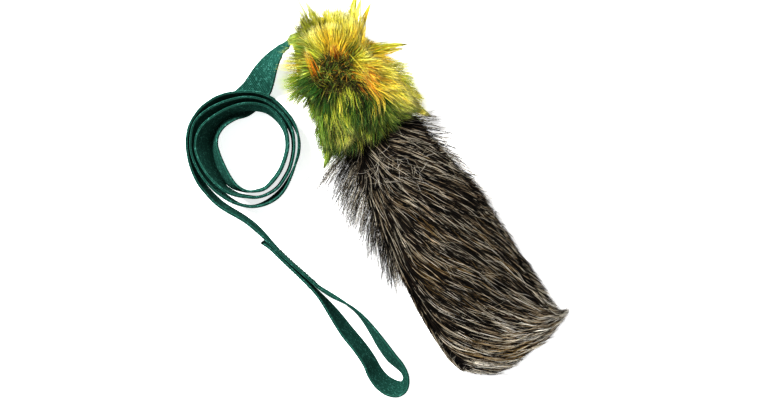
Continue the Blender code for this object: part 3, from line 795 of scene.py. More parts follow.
def waves(p, size, pick=0):
    """A smooth unrest of about -1 to 1 over the plan, size in metres."""
    out = 0
    for k in range(6):
        ang, ph = _waves[pick, k]
        f = (0.7 + 0.22 * k) / size
        out = out + np.sin((p[:, 0] * np.cos(ang) + p[:, 1] * np.sin(ang)) * 2 * np.pi * f + ph)
    return out / 2.6


# ---------------------------------------------------------------------- strands
def ease(t):
    return t * t * (3 - 2 * t)


PROFILE = np.array([[0.0, 0.72], [0.12, 1.0], [0.5, 0.95], [0.78, 0.66], [0.92, 0.34], [1.0, 0.08]])


def strand_mesh(name, paths, width, tile, tone, mat):
    """Tapering three-sided hairs. Their map holds the colour family and the
    place along the hair in u, and the hair's own tone in v."""
    n, m = paths.shape[:2]
    t = np.gradient(paths, axis=1)
    t /= np.linalg.norm(t, axis=2, keepdims=True) + 1e-12
    ref = np.where(np.abs(t[:, :1, 2:3]) > 0.85, np.array([[[1.0, 0, 0]]]), np.array([[[0, 0, 1.0]]]))
    a = np.cross(t, np.broadcast_to(ref, t.shape))
    a /= np.linalg.norm(a, axis=2, keepdims=True) + 1e-12
    b = np.cross(t, a)
    at = np.linspace(0, 1, m)
    r = width[:, None] * 0.5 * np.interp(at, PROFILE[:, 0], PROFILE[:, 1])[None]
    phase = rng.uniform(0, 2 * np.pi, n)[:, None] + np.arange(3)[None] * 2 * np.pi / 3
    ca, sa = np.cos(phase)[:, None, :, None], np.sin(phase)[:, None, :, None]
    ring = paths[:, :-1, None] + r[:, :-1, None, None] * (ca * a[:, :-1, None] + sa * b[:, :-1, None])
    ring[..., 2] = np.maximum(ring[..., 2], 0.12 * MM)
    per = 3 * (m - 1) + 1
    verts = np.concatenate([ring.reshape(n, -1, 3), paths[:, -1:]], 1).reshape(-1, 3)
    j, c = np.meshgrid(np.arange(m - 2), np.arange(3), indexing="ij")
    j, c = j.ravel(), c.ravel()
    c2 = (c + 1) % 3
    quad = np.stack([3 * j + c, 3 * j + c2, 3 * (j + 1) + c2, 3 * (j + 1) + c], -1)
    last = 3 * (m - 2)
    tri = np.array([[last, last + 1, per - 1], [last + 1, last + 2, per - 1], [last + 2, last, per - 1], [2, 1, 0]])
    base = (np.arange(n) * per)[:, None, None]
    quads = (base + quad[None]).reshape(-1, 4)
    tris = (base + tri[None]).reshape(-1, 3)
    # the map
    dv = np.array([-0.003, 0.003, 0.0])
    u_of = 0.04 + 0.92 * at
    qu = u_of[np.stack([j, j, j + 1, j + 1], -1)]
    qv = dv[np.stack([c, c2, c2, c], -1)]
    tu = np.array([[u_of[-2], u_of[-2], u_of[-1]]] * 3 + [[u_of[0] - 0.012, u_of[0] + 0.012, u_of[0]]])
    tv = np.array([[dv[0], dv[1], 0], [dv[1], dv[2], 0.001], [dv[2], dv[0], -0.001], [-0.003, 0.0, 0.003]])
    k = tile.astype(float)[:, None, None]
    v = np.clip(tone, 0.02, 0.98)[:, None, None]
    uq = np.stack([(k + qu[None]) / 8, v + qv[None]], -1).reshape(-1, 2)
    ut = np.stack([(k + tu[None]) / 8, v + tv[None]], -1).reshape(-1, 2)
    return mesh_object(name, verts, [quads, tris], mat, uvs=[("OFBake", np.concatenate([uq, ut]))])


def hair_material(name, families, roughness=0.5, level=0.35):
    """families: for each of the eight, the colours from root to tip."""
    s = Shader(name)
    u, v = s.uv("OFBake")
    u8 = s.math("MULTIPLY", u, 8.0)
    kind = s.math("FLOOR", u8)
    t = s.math("FRACT", u8)
    colour = None
    for k, stops in enumerate(families):
        ramp = s.ramp(t, [(at, srgb(*c)) for at, c in stops], "EASE" if len(stops) < 3 else "LINEAR")
        if colour is None:
            colour = ramp
        else:
            colour = s.mix(s.math("COMPARE", kind, float(k), 0.5), colour, ramp)
    bright = s.math("MULTIPLY_ADD", s.math("MULTIPLY", v, v), 0.75, 0.55)
    colour = s.scale(colour, bright)
    # faint bands that go with the hair's own tone
    band = s.math("SINE", s.math("MULTIPLY_ADD", t, 22.0, s.math("MULTIPLY", v, 47.0)))
    colour = s.scale(colour, s.math("MULTIPLY_ADD", band, 0.06, 1.0))
    return s.set(Base_Color=colour, Roughness=s.math("MULTIPLY_ADD", band, 0.05, roughness),
                 Specular_IOR_Level=level)


def gather(paths, guides, strength, power, apart=0.45):
    """Draws each strand to the nearest guide strand towards its tip."""
    kd = KDTree(len(guides))
    for i, g in enumerate(guides):
        kd.insert(paths[g, 0], i)
    kd.balance()
    own = np.array([kd.find(p)[1] for p in paths[:, 0]])
    m = paths.shape[1]
    s = strength[:, None, None] * (np.linspace(0, 1, m) ** power)[None, :, None]
    spread = rng.normal(0, apart * MM, (len(paths), 1, 3))
    return paths + (paths[guides][own] + spread - paths) * s, own


def shorten(paths, over, least):
    """Ends each strand where it first passes a line; over is above 0 past it."""
    n, m = paths.shape[:2]
    out = over > 0
    first = np.where(out.any(1), out.argmax(1), m)
    i = np.clip(first - 1, 0, m - 2)
    rows = np.arange(n)
    o0, o1 = over[rows, i], over[rows, i + 1]
    s = np.where(first >= m, m - 1.0, i + np.clip(-o0 / (o1 - o0 + 1e-9), 0, 1))
    s = np.maximum(s, least * (m - 1))
    at = s[:, None] * np.linspace(0, 1, m)[None]
    k = np.clip(np.floor(at).astype(int), 0, m - 2)
    f = (at - k)[..., None]
    return paths[rows[:, None], k] * (1 - f) + paths[rows[:, None], k + 1] * f


def outside(gx, gy, outline):
    """How far points lie outside a closed line on the grid; less than 0 inside."""
    best = np.full(gx.shape, np.inf)
    within = np.zeros(gx.shape, bool)
    for (ax, ay), (bx, by) in zip(outline, outline[1:] + outline[:1]):
        dx, dy = bx - ax, by - ay
        f = np.clip(((gx - ax) * dx + (gy - ay) * dy) / (dx * dx + dy * dy), 0, 1)
        best = np.minimum(best, np.hypot(gx - ax - f * dx, gy - ay - f * dy))
        if ay != by:
            within ^= ((ay > gy) != (by > gy)) & (gx < dx * (gy - ay) / dy + ax)
    return np.where(within, -best, best)


def comb(root, length, lift, turn, curl, flow, height, steps=6, low=0.35 * MM, near=5.0, fall=0.7):
    """Strands that run along the flow over a height field."""
    out = np.empty((len(root), steps + 1, 3))
    out[:, 0] = root
    p = root.copy()
    for k in range(1, steps + 1):
        gx, gy = on_grid(p)
        a = flow_at(gx, gy, flow, near) + turn + curl * (k / steps)
        step = length / steps
        q = p + (np.cos(a)[:, None] * RIGHT + np.sin(a)[:, None] * DOWN) * step[:, None]
        z = height(q[:, 0], q[:, 1]) + lift * ease(min(1.0, k / steps / 0.4))
        z = np.maximum(z, p[:, 2] - fall * step)
        z = np.minimum(z, p[:, 2] + 0.8 * step)
        q[:, 2] = np.maximum(z, low)
        out[:, k] = q
        p = q
    return out


# --------------------------------------------------------------- fur of the tail
TAIL_FLOW = [
    (352, 140, 100), (345, 165, 135), (338, 190, 122), (350, 160, 125), (350, 200, 112), (350, 225, 104), (362, 245, 92),
    (362, 180, 100), (372, 152, 48), (372, 172, 66), (376, 195, 72), (385, 225, 65), (390, 255, 63), (398, 285, 61),
    (410, 310, 59), (425, 335, 56), (438, 352, 35), (395, 130, 10), (400, 145, 15), (415, 125, 6), (430, 125, 12),
    (420, 150, 22), (395, 165, 26), (445, 150, 26), (460, 170, 33), (400, 200, 35), (425, 180, 23), (450, 200, 25),
    (475, 195, 35), (490, 215, 38), (420, 230, 35), (450, 240, 29), (480, 240, 33), (505, 240, 44), (430, 270, 35),
    (460, 280, 30), (490, 280, 31), (520, 270, 43), (540, 295, 42), (553, 310, 31), (450, 310, 30), (480, 308, 26),
    (510, 305, 25), (530, 315, 22), (500, 325, 20), (540, 325, -5), (560, 318, -25), (568, 313, -38), (460, 335, 21),
    (480, 345, 13), (500, 350, 0), (520, 348, -14), (540, 338, -26), (555, 328, -32), (470, 362, 18), (485, 368, 6),
    (500, 370, -5), (520, 362, -20), (545, 345, -32),
]
GOLD_AT = [(432, 232, 13), (478, 230, 10), (497, 222, 9), (425, 272, 13), (438, 286, 10), (505, 350, 12),
           (522, 343, 10), (470, 345, 9), (470, 300, 12), (452, 262, 9), (515, 262, 8), (415, 220, 8)]
PALE_AT = [(494, 318, 6), (503, 328, 6), (514, 334, 6), (527, 337, 6), (541, 336, 6), (553, 326, 7), (562, 319, 8), (567, 312, 7), (545, 346, 6),
           (480, 367, 8), (496, 369, 8), (512, 364, 7), (530, 352, 7), (460, 364, 6), (545, 322, 8), (548, 340, 7), (445, 345, 6), (404, 178, 6)]
DARK_AT = [(357, 160, 10), (363, 178, 9), (370, 195, 8), (428, 322, 9), (415, 300, 8), (405, 262, 9),
           (458, 215, 8), (500, 296, 9), (484, 262, 9), (412, 168, 8), (498, 240, 7)]


# the close edge of the tail's fur on the grid
TAIL_EDGE = [
    (350, 118), (352, 135), (354, 150), (358, 178), (367, 195), (374, 215), (381, 231), (390, 255), (398, 270), (407, 287),
    (420, 315), (431, 341), (441, 358), (450, 366), (460, 370), (479, 374), (495, 374), (514, 367), (533, 356), (547, 343),
    (557, 330), (564, 320), (565, 315), (560, 311), (556, 305), (547, 294), (540, 282), (531, 269), (522, 258), (511, 242),
    (500, 228), (491, 212), (480, 192), (463, 177), (443, 160), (433, 145), (417, 121), (400, 108), (375, 104),
]


def tail_trim(paths, scale=1.0, most=12.0, least=0.2):
    """Ends strands a little past the close edge, more so where it is loose."""
    x, y = paths[:, 0, 0], paths[:, 0, 1]
    left = y < tail_section(x)[0]
    loose = np.where(left, np.interp(x, [-0.03, 0.03, 0.12, 0.15], [1.8, 0.6, 0.7, 3.0]), np.interp(x, [-0.03, 0.02, 0.10, 0.15], [2.4, 1.6, 1.8, 6.5]))
    slack = np.minimum(rng.exponential(1.0, len(x)) * loose * scale, most)
    gx, gy = on_grid(paths)
    return shorten(paths, outside(gx, gy, TAIL_EDGE) - slack[:, None], least)


FRINGE_FLOW = [
    (352, 140, 130), (356, 160, 124), (362, 185, 113), (370, 205, 106), (378, 225, 100), (388, 250, 94), (398, 275, 88),
    (335, 165, 134), (335, 200, 116), (332, 185, 122), (345, 230, 102), (350, 260, 95), (372, 262, 90), (345, 180, 120), (355, 215, 108),
]


def scattered(x, y, heading, along, across, room=None):
    """Picks points in a random order, and leaves out each one that comes too
    close to one picked before; more room is kept along the heading."""
    c, s = np.cos(heading), np.sin(heading)
    px, py = np.empty(len(x)), np.empty(len(x))
    picked = np.zeros(len(x), bool)
    m = 0
    for i in rng.permutation(len(x)):
        dx, dy = px[:m] - x[i], py[:m] - y[i]
        k = 1.0 if room is None else room[i]
        near = ((dx * c[i] + dy * s[i]) / (along * k)) ** 2 + ((dy * c[i] - dx * s[i]) / (across * k)) ** 2
        if m == 0 or near.min() > 1:
            px[m], py[m] = x[i], y[i]
            picked[i] = True
            m += 1
    return picked


def spots(gx, gy, at):
    out = np.zeros(len(gx))
    for x, y, r in at:
        out = np.maximum(out, np.exp(-((gx - x) ** 2 + (gy - y) ** 2) / (r * r)))
    return out


def tail_top_roots(n, x0=TAIL_FRONT + 2 * MM, x1=TAIL_TIP - 0.5 * MM, edge=0.5 * MM):
    x = rng.uniform(x0, x1, int(n * 1.3))
    yc, w, z0, h = tail_section(x)
    y = rng.uniform(-50 * MM, 46 * MM, len(x))
    r = np.abs(y - yc) / (w - edge)
    keep = r < 1
    x, y = x[keep][:n], y[keep][:n]
    return np.stack([x, y, tail_height(x, y) - 0.6 * MM], 1)


def tail_side_roots(n, right, x0=TAIL_FRONT + 3 * MM, x1=TAIL_TIP - 1 * MM):
    x = rng.uniform(x0, x1, n)
    yc, w, z0, h = tail_section(x)
    a = rng.uniform(-1.15, 0.7, n)
    y = yc + (1 if right else -1) * w * np.abs(np.cos(a)) ** SQUARE
    z = z0 + np.clip(h * 1.06 * signed(np.sin(a), SQUARE), -h, h)
    return np.stack([x, y, z], 1)


def tail_fur():
    sets = []

    def add(paths, width, tile, tone):
        sets.append((paths, width, tile, tone))

    # the coat on top
    n = 23000
    root = tail_top_roots(n)
    n = len(root)
    gx, gy = on_grid(root)
    length = rng.uniform(24, 44, n) * MM
    near_tip = np.clip((root[:, 0] - 0.135) / 0.03, 0, 1)
    length *= 1 - 0.42 * near_tip
    lift = rng.uniform(0.2, 4.0, n) * MM
    turn = np.radians(4.0 * waves(root, 0.05, 0) + 2.4 * waves(root, 0.018, 1) + rng.normal(0, 3.4, n))
    curl = np.radians(rng.normal(0, 6, n))
    guides = rng.choice(n, 6400, replace=False)
    kd = KDTree(len(guides))
    for i, g in enumerate(guides):
        kd.insert(root[g], i)
    kd.balance()
    found = [kd.find(p) for p in root]
    own = np.array([f[1] for f in found])
    core = np.array([f[2] for f in found]) < 0.5 * MM
    # light locks lie on top of the dark coat, in a loose pattern
    gx, gy = on_grid(root[guides])
    heading = flow_at(gx, gy, TAIL_FLOW)
    gx, gy = gx + 20 * np.cos(heading), gy + 20 * np.sin(heading)
    pale, dark = spots(gx, gy, PALE_AT), spots(gx, gy, DARK_AT)
    tipward = np.clip((root[guides, 0] - 0.105) / 0.035, 0, 1)
    light = scattered(gx, gy, heading, 9.5, 3.2, 1 + 0.35 * dark - 0.2 * pale - 0.42 * tipward)
    second = scattered(gx, gy, heading, 7.5, 2.5, 1 + 0.2 * dark - 0.2 * pale) & ~light
    light, second = light[own] & core, second[own] & core
    lift = np.where(light, 2.6 * MM + 0.5 * lift, np.where(second, 1.4 * MM + 0.6 * lift, lift))
    turn = np.where(light | second, 0.35 * turn + 0.65 * turn[guides][own], turn)
    paths = comb(root, length, lift, turn, curl, TAIL_FLOW, tail_height)
    paths, _ = gather(paths, guides, np.where(light | second, rng.uniform(0.7, 0.97, n), rng.uniform(0.2, 0.6, n)), 0.9, 0.16)
    paths = tail_trim(paths)
    mid = paths[:, 3]
    mx, my = on_grid(mid)
    gold, pale, dark = spots(mx, my, GOLD_AT), spots(mx, my, PALE_AT), spots(mx, my, DARK_AT)
    any_kind = rng.random(len(guides))
    light_tile = np.select([any_kind < 0.34, any_kind < 0.86], [1, 2], 8)[own]
    light_tile = np.where(light_tile == 8, np.where(mid[:, 0] > 0.07, 4, 2), light_tile)
    second_tile = np.select([any_kind < 0.5, any_kind < 0.84], [1, 5], 2)[own]
    dark_tile = np.select([any_kind < 0.80 - 0.3 * tipward, any_kind < 0.97 - 0.32 * tipward], [0, 5], 1)[own]
    tile = np.where(light, light_tile, np.where(second, second_tile, dark_tile))
    tile = np.where(rng.random(n) < 0.06, rng.choice([0, 5, 1, 2], n), tile)
    tile = np.where((rng.random(n) < 0.55 * gold) & (tile != 0) & (tile != 5), 3, tile)
    tile = np.where((rng.random(n) < 0.08) & (tile == 5), 6, tile)
    tile = np.where((pale > 0.5) & (mid[:, 0] > 0.09) & (rng.random(n) < 0.42), 4, tile)
    tone = np.clip(0.50 + 0.20 * rng.normal(0, 1, n) + 0.12 * rng.normal(0, 1, len(guides))[own] - 0.22 * dark, 0.02, 0.98)
    tone = np.clip(tone + 0.22 * np.clip((mid[:, 0] - 0.115) / 0.03, 0, 1), 0.02, 0.98)
    # hairs that lie low in the coat are darkened: painted shade of the coat's depth
    deep = lift < 1.5 * MM
    tone = np.where(deep, tone * 0.4, tone)
    tile = np.where(deep & (rng.random(n) < 0.6), 0, tile)
    add(paths, np.where(np.isin(tile, (1, 2, 3, 4)), rng.uniform(0.3, 0.42, n), rng.uniform(0.34, 0.54, n)) * MM, tile, tone)

    # both edges and the belly
    for right, count in ((True, 2300), (False, 2300)):
        root = tail_side_roots(count, right)
        length = rng.uniform(14, 27, count) * MM * (1 - 0.55 * np.clip((root[:, 0] - 0.13) / 0.03, 0, 1))
        sign = 1 if right else -1
        out = np.empty((count, 7, 3))
        out[:, 0] = root
        p = root.copy()
        away = rng.uniform(0.4, 3.4, count) * MM
        jitter = np.radians(rng.normal(0, 7, count))
        for k in range(1, 7):
            ax, ay = on_grid(p)
            a = flow_at(ax, ay, TAIL_FLOW) + jitter
            step = length / 6
            q = p + (np.cos(a)[:, None] * RIGHT + np.sin(a)[:, None] * DOWN) * step[:, None]
            yc, w, z0, h = tail_section(np.minimum(q[:, 0], TAIL_TIP))
            limit = yc + sign * (w + away * ease(k / 6) + 0.3 * MM)
            hold = q[:, 0] < TAIL_TIP - 14 * MM
            q[:, 1] = np.where(hold, sign * np.maximum(sign * q[:, 1], sign * limit), q[:, 1])
            q[:, 2] = np.maximum(p[:, 2] - step * (0.10 + 0.22 * k / 6), 0.4 * MM)
            out[:, k] = q
            p = q
        tile = rng.choice([0, 5, 1, 2, 6], count, p=[0.46, 0.22, 0.14, 0.14, 0.04])
        tile = np.where((root[:, 0] > 0.11) & (rng.random(count) < 0.55), rng.choice([1, 2, 4], count), tile)
        out = tail_trim(out, 0.8)
        add(out, rng.uniform(0.34, 0.5, count) * MM, tile, rng.uniform(0.1, 0.7, count))
    count = 1900
    root = tail_top_roots(count)
    yc, w, z0, h = tail_section(root[:, 0])
    root[:, 2] = np.maximum(z0 - h * (1 - np.clip(np.abs(root[:, 1] - yc) / w, 0, 0.999) ** FULL) ** (1 / FULL), 0.8 * MM) + 0.2 * MM
    low = rng.uniform(0.5, 2.4, count) * MM
    out = comb(root, rng.uniform(12, 20, count) * MM, low, np.radians(rng.normal(0, 14, count)), np.zeros(count), TAIL_FLOW,
               lambda x, y: 0 * x + 0.3 * MM)
    add(out, np.full(count, 0.5 * MM), rng.choice([0, 5, 1], count), rng.uniform(0.1, 0.5, count))

    # the thin fringe along the left of the front
    n = 700
    x = TAIL_FRONT + 2 * MM + (104 * MM) * rng.uniform(0, 1, n) ** 1.25
    yc, w, z0, h = tail_section(x)
    root = np.stack([x, yc - w + rng.uniform(0.0, 6, n) * MM, z0 + rng.uniform(-4, 7, n) * MM], 1)
    length = (22 + 42 * rng.uniform(0, 1, n) ** 1.35) * MM * (1 - 0.15 * np.clip((x - 0.0) / 0.03, 0, 1))
    turn = np.radians(rng.normal(0, 6, n) + 5 * waves(root, 0.01, 3))
    paths = comb(root, length, rng.uniform(0, 5, n) * MM, turn, np.radians(rng.normal(-7, 8, n)), FRINGE_FLOW, tail_height, fall=0.5)
    guides = rng.choice(n, 110, replace=False)
    paths, own = gather(paths, guides, rng.uniform(0.2, 0.85, n), 1.1, 0.5)
    tile = rng.choice([7, 2, 0, 5, 4], n, p=[0.34, 0.14, 0.30, 0.16, 0.06])
    tile = np.where(rng.random(n) < 0.6, rng.choice([7, 0, 5], len(guides), p=[0.45, 0.38, 0.17])[own], tile)
    add(paths, rng.uniform(0.2, 0.34, n) * MM, tile, rng.uniform(0.2, 0.9, n))

    # thin hairs that stand off the right edge and the tip
    n = 560
    x = TAIL_FRONT + 4 * MM + (TAIL_TIP - TAIL_FRONT - 5 * MM) * rng.uniform(0, 1, n) ** 1.35
    yc, w, z0, h = tail_section(x)
    root = np.stack([x, yc + w - rng.uniform(0, 6, n) * MM, z0 + rng.uniform(0, 8, n) * MM], 1)
    length = rng.uniform(18, 40, n) * MM * np.where(x < 0.0, 1.25, 0.8)
    turn = np.radians(rng.normal(-8, 7, n))
    paths = comb(root, length, rng.uniform(0, 4, n) * MM, turn, np.radians(rng.normal(-4, 10, n)), TAIL_FLOW, tail_height, fall=0.45)
    tile = rng.choice([7, 2, 0, 5], n, p=[0.2, 0.25, 0.35, 0.2])
    add(paths, rng.uniform(0.18, 0.32, n) * MM, tile, rng.uniform(0.2, 0.9, n))

    # light hairs that cross the coat near the front
    n = 46
    a, r = rng.uniform(0, 2 * np.pi, n), np.sqrt(rng.uniform(0, 1, n))
    spot = grid(396 + 27 * r * np.cos(a), 166 + 20 * r * np.sin(a), 27 * MM)
    spot[:, 2] = tail_height(spot[:, 0], spot[:, 1]) + 1.5 * MM
    paths = comb(spot, rng.uniform(9, 20, n) * MM, rng.uniform(3.8, 6.0, n) * MM, rng.uniform(-1.5, 1.7, n),
                 rng.normal(0, 0.5, n), TAIL_FLOW, tail_height)
    add(paths, rng.uniform(0.2, 0.28, n) * MM, rng.choice([4, 2], n), rng.uniform(0.3, 0.8, n))
    # single hairs out of line all over
    n = 300
    root = tail_top_roots(n)
    paths = comb(root, rng.uniform(14, 30, len(root)) * MM, rng.uniform(3.6, 6.0, len(root)) * MM, rng.normal(0, 0.2, len(root)),
                 rng.normal(0, 0.25, len(root)), TAIL_FLOW, tail_height)
    paths = tail_trim(paths, 2.0)
    add(paths, rng.uniform(0.2, 0.3, len(root)) * MM, rng.choice([2, 4, 0, 3], len(root), p=[0.5, 0.08, 0.25, 0.17]), rng.uniform(0.2, 0.7, len(root)))
    # a few long thin hairs that reach past the fringe
    pick = np.random.default_rng(977)
    n = 190
    x = TAIL_FRONT + 4 * MM + 94 * MM * pick.uniform(0, 1, n)
    yc, w, z0, h = tail_section(x)
    root = np.stack([x, yc - w + pick.uniform(0.0, 5, n) * MM, z0 + pick.uniform(-2, 7, n) * MM], 1)
    length = pick.uniform(44, 70, n) * MM * (1 - 0.2 * np.clip((x - 0.0) / 0.03, 0, 1))
    paths = comb(root, length, pick.uniform(0, 5, n) * MM, np.radians(pick.normal(0, 8, n)), np.radians(pick.normal(-9, 9, n)), FRINGE_FLOW,
                 tail_height, fall=0.5)
    add(paths, pick.uniform(0.16, 0.26, n) * MM, pick.choice([0, 5, 7], n, p=[0.5, 0.3, 0.2]), pick.uniform(0.15, 0.7, n))
    paths, width, tile, tone = [np.concatenate([s[i] for s in sets]) for i in range(4)]
    keep = (paths[..., 0].max(1) < 0.1825) & (paths[..., 1].max(1) < 0.0625)
    return paths[keep], width[keep], tile[keep], tone[keep]


TAIL_COLOURS = [
    [(0.0, (4, 3, 3)), (0.4, (12, 10, 9)), (0.75, (18, 15, 13)), (1.0, (9, 8, 7))],
    [(0.0, (8, 7, 6)), (0.36, (22, 18, 15)), (0.50, (176, 158, 130)), (0.74, (168, 150, 124)), (0.86, (20, 17, 14)), (1.0, (10, 9, 8))],
    [(0.0, (14, 12, 10)), (0.24, (40, 35, 29)), (0.42, (206, 195, 172)), (0.78, (232, 224, 205)), (0.92, (120, 108, 92)), (1.0, (40, 34, 28))],
    [(0.0, (22, 17, 12)), (0.35, (116, 93, 58)), (0.7, (186, 157, 106)), (1.0, (86, 69, 47))],
    [(0.0, (100, 92, 80)), (0.3, (222, 215, 200)), (0.8, (246, 242, 232)), (1.0, (234, 228, 214))],
    [(0.0, (9, 8, 7)), (0.35, (40, 34, 29)), (0.7, (70, 61, 52)), (1.0, (22, 19, 16))],
    [(0.0, (16, 11, 9)), (0.4, (62, 44, 34)), (0.75, (90, 67, 53)), (1.0, (27, 20, 17))],
    [(0.0, (150, 140, 122)), (0.45, (190, 181, 162)), (0.7, (92, 81, 68)), (1.0, (24, 20, 17))],
]


def chunks(index, most=5600):
    n = max(1, math.ceil(len(index) / most))
    return [index[k::n] for k in range(n)]


def build_tail_fur():
    paths, width, tile, tone = tail_fur()
    mat = hair_material("grizzled_guard_hair", TAIL_COLOURS, 0.56, 0.05)
    front = np.nonzero(paths[:, 0, 0] < TAIL_CUT)[0]
    rear = np.nonzero(paths[:, 0, 0] >= TAIL_CUT)[0]
    out = []
    for label, index, bodies, start, end in (
        ("tail_fur_front", front, ("head", "tail"), -0.062, -0.032),
        ("tail_fur_rear", rear, ("tail", "tail_tip"), 0.045, 0.071),
    ):
        for k, part in enumerate(chunks(index)):
            ob = strand_mesh(f"{label}_{k + 1}", paths[part], width[part], tile[part], tone[part], mat)
            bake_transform(ob)
            out.append(ob)
    print("STRANDS tail", len(paths), "max y", round(float(paths[..., 1].max()) * 1000, 1), "max x", round(float(paths[..., 0].max()) * 1000, 1))
    return out


TAIL_FUR = build_tail_fur()


# --------------------------------------------------------------- fur of the head
WHORL = (334.0, 73.0)
HEAD_FLOW = [
    (365, 45, -62), (380, 42, -30), (352, 28, -84), (352, 8, -84), (366, 14, -68), (332, 22, -98), (338, 5, -96), (315, 24, -118),
    (305, 10, -122), (300, 42, -150), (312, 50, -140), (290, 55, -160), (292, 65, 178), (305, 66, 172), (290, 85, 160), (306, 84, 152),
    (308, 98, 124), (318, 92, 112), (318, 112, 98), (326, 140, 84), (330, 165, 92), (322, 172, 112), (345, 110, 86),
    (340, 140, 84), (356, 140, 74), (362, 116, 90), (372, 128, 84), (378, 112, 66), (392, 100, 40), (372, 84, 36),
    (390, 84, 30), (405, 92, 30), (420, 108, 32), (405, 112, 20), (425, 118, 16), (385, 62, 4), (405, 64, 8),
    (360, 62, -4), (348, 52, -50), (334, 52, -92), (318, 60, -150), (320, 78, 165), (328, 92, 100), (345, 90, 70), (354, 74, 12),
]
YELLOW, GOLD, ORANGE, LEAF, LIME, DEEP, DARKTIP, MATTED = 4, 5, 6, 2, 3, 1, 7, 0
HEAD_HUES = [
    (300, 18, LIME), (308, 12, DARKTIP), (300, 34, DARKTIP), (318, 24, YELLOW), (332, 20, YELLOW), (340, 34, YELLOW), (352, 12, YELLOW),
    (352, 26, YELLOW), (358, 38, GOLD), (364, 22, YELLOW), (345, 42, GOLD), (326, 38, GOLD), (333, 50, GOLD),
    (338, 56, ORANGE), (318, 44, YELLOW), (309, 60, LIME), (311, 70, LEAF), (312, 50, LIME), (304, 47, LEAF), (296, 52, DEEP), (290, 62, LIME),
    (298, 72, LIME), (288, 82, LEAF), (304, 84, DEEP), (294, 92, LIME), (314, 84, DEEP), (312, 100, LEAF),
    (320, 112, LEAF), (326, 100, DEEP), (332, 116, LIME), (338, 104, YELLOW), (345, 112, LIME), (344, 92, LIME), (350, 128, YELLOW),
    (334, 136, LIME), (326, 150, LEAF), (322, 132, LEAF), (330, 162, DEEP), (344, 146, LEAF), (358, 118, LEAF), (366, 112, DEEP),
    (362, 132, LIME), (372, 140, LEAF), (372, 122, LEAF), (384, 112, LEAF), (380, 98, GOLD), (390, 104, LIME),
    (400, 116, LEAF), (412, 114, LIME), (424, 117, LIME), (418, 106, YELLOW), (406, 98, YELLOW), (396, 90, YELLOW), (388, 82, GOLD),
    (372, 78, ORANGE), (366, 72, ORANGE), (378, 72, YELLOW), (390, 70, YELLOW), (400, 76, LIME), (380, 60, GOLD),
    (366, 58, YELLOW), (356, 60, LIME), (350, 52, DEEP), (356, 48, GOLD), (368, 48, GOLD), (390, 46, LIME), (404, 43, LIME), (342, 66, MATTED),
    (352, 86, MATTED), (328, 84, MATTED), (322, 66, MATTED), (345, 78, MATTED),
]
# colours from root to tip; the dark roots are painted shade of the pile's depth
HEAD_COLOURS = [
    [(0.0, (8, 7, 4)), (0.5, (46, 41, 18)), (1.0, (112, 100, 58))],
    [(0.0, (6, 14, 5)), (0.3, (24, 52, 16)), (0.7, (64, 110, 42)), (1.0, (122, 156, 92))],
    [(0.0, (12, 24, 6)), (0.3, (82, 118, 30)), (0.7, (144, 178, 66)), (1.0, (192, 212, 138))],
    [(0.0, (32, 37, 8)), (0.3, (164, 172, 40)), (0.7, (216, 220, 84)), (1.0, (226, 230, 156))],
    [(0.0, (84, 72, 12)), (0.26, (230, 212, 62)), (0.7, (246, 238, 108)), (1.0, (247, 243, 186))],
    [(0.0, (84, 60, 9)), (0.26, (228, 184, 44)), (0.7, (244, 216, 78)), (1.0, (244, 234, 156))],
    [(0.0, (58, 28, 5)), (0.28, (198, 112, 26)), (0.7, (232, 162, 54)), (1.0, (236, 196, 106))],
    [(0.0, (30, 34, 10)), (0.4, (150, 152, 62)), (0.68, (122, 116, 68)), (1.0, (46, 41, 32))],
]


def head_roots(n, side):
    g = head_grid(side, 60, 61)
    a, b, c, d = g[:-1, :-1], g[1:, :-1], g[:-1, 1:], g[1:, 1:]
    cross = np.cross(b - a, c - a)
    area = np.linalg.norm(cross, axis=-1)
    i = rng.choice(area.size, n, p=(area / area.sum()).ravel())
    i, j = np.unravel_index(i, area.shape)
    s, t = rng.random((n, 1)), rng.random((n, 1))
    p = a[i, j] * (1 - s) * (1 - t) + b[i, j] * s * (1 - t) + c[i, j] * (1 - s) * t + d[i, j] * s * t
    nrm = cross[i, j] / (area[i, j][:, None] + 1e-15)
    mid = np.stack([p[:, 0], np.full(n, HEAD_Y), table(p[:, 0], SEAM_Z)], 1)
    flip = np.sum(nrm * (p - mid), 1) < 0
    nrm[flip] *= -1
    return p, nrm


# How far the pile reaches on the grid: its close edge, and its longest tips.
HEAD_CLOSE = [
    (361, 42), (369, 53), (385, 63), (397, 77), (409, 92), (421, 111), (407, 114), (391, 117), (381, 124), (373, 132), (362, 137),
    (352, 140), (344, 148), (336, 156), (329, 155), (324, 141), (320, 118), (316, 104), (312, 98), (304, 91), (301, 82), (303, 76),
    (301, 68), (305, 60), (306, 52), (302, 44), (306, 37), (313, 31), (322, 27), (333, 25), (345, 23), (352, 19), (357, 22), (360, 31),
]
HEAD_TIPS = [
    (366, 34), (392, 50), (404, 59), (414, 71), (423, 90), (437, 119), (416, 128), (400, 136), (390, 146), (380, 154), (363, 160),
    (350, 164), (341, 173), (328, 181), (320, 168), (316, 146), (310, 130), (304, 116), (289, 102), (279, 95), (280, 84), (278, 76),
    (279, 67), (282, 58), (292, 48), (292, 34), (293, 24), (299, 10), (308, 1), (320, 5), (333, 3), (344, 4), (352, 1), (359, 4), (367, 10), (369, 21),
]
HEAD_MID = (340.0, 80.0)


def polar_edge(points):
    q = np.array(points, float) - HEAD_MID
    a, r = np.arctan2(q[:, 1], q[:, 0]), np.hypot(q[:, 0], q[:, 1])
    order = np.argsort(a)
    a, r = a[order], r[order]
    return np.concatenate([a - 2 * np.pi, a, a + 2 * np.pi]), np.tile(r, 3)


CLOSE_EDGE, TIPS_EDGE = polar_edge(HEAD_CLOSE), polar_edge(HEAD_TIPS)


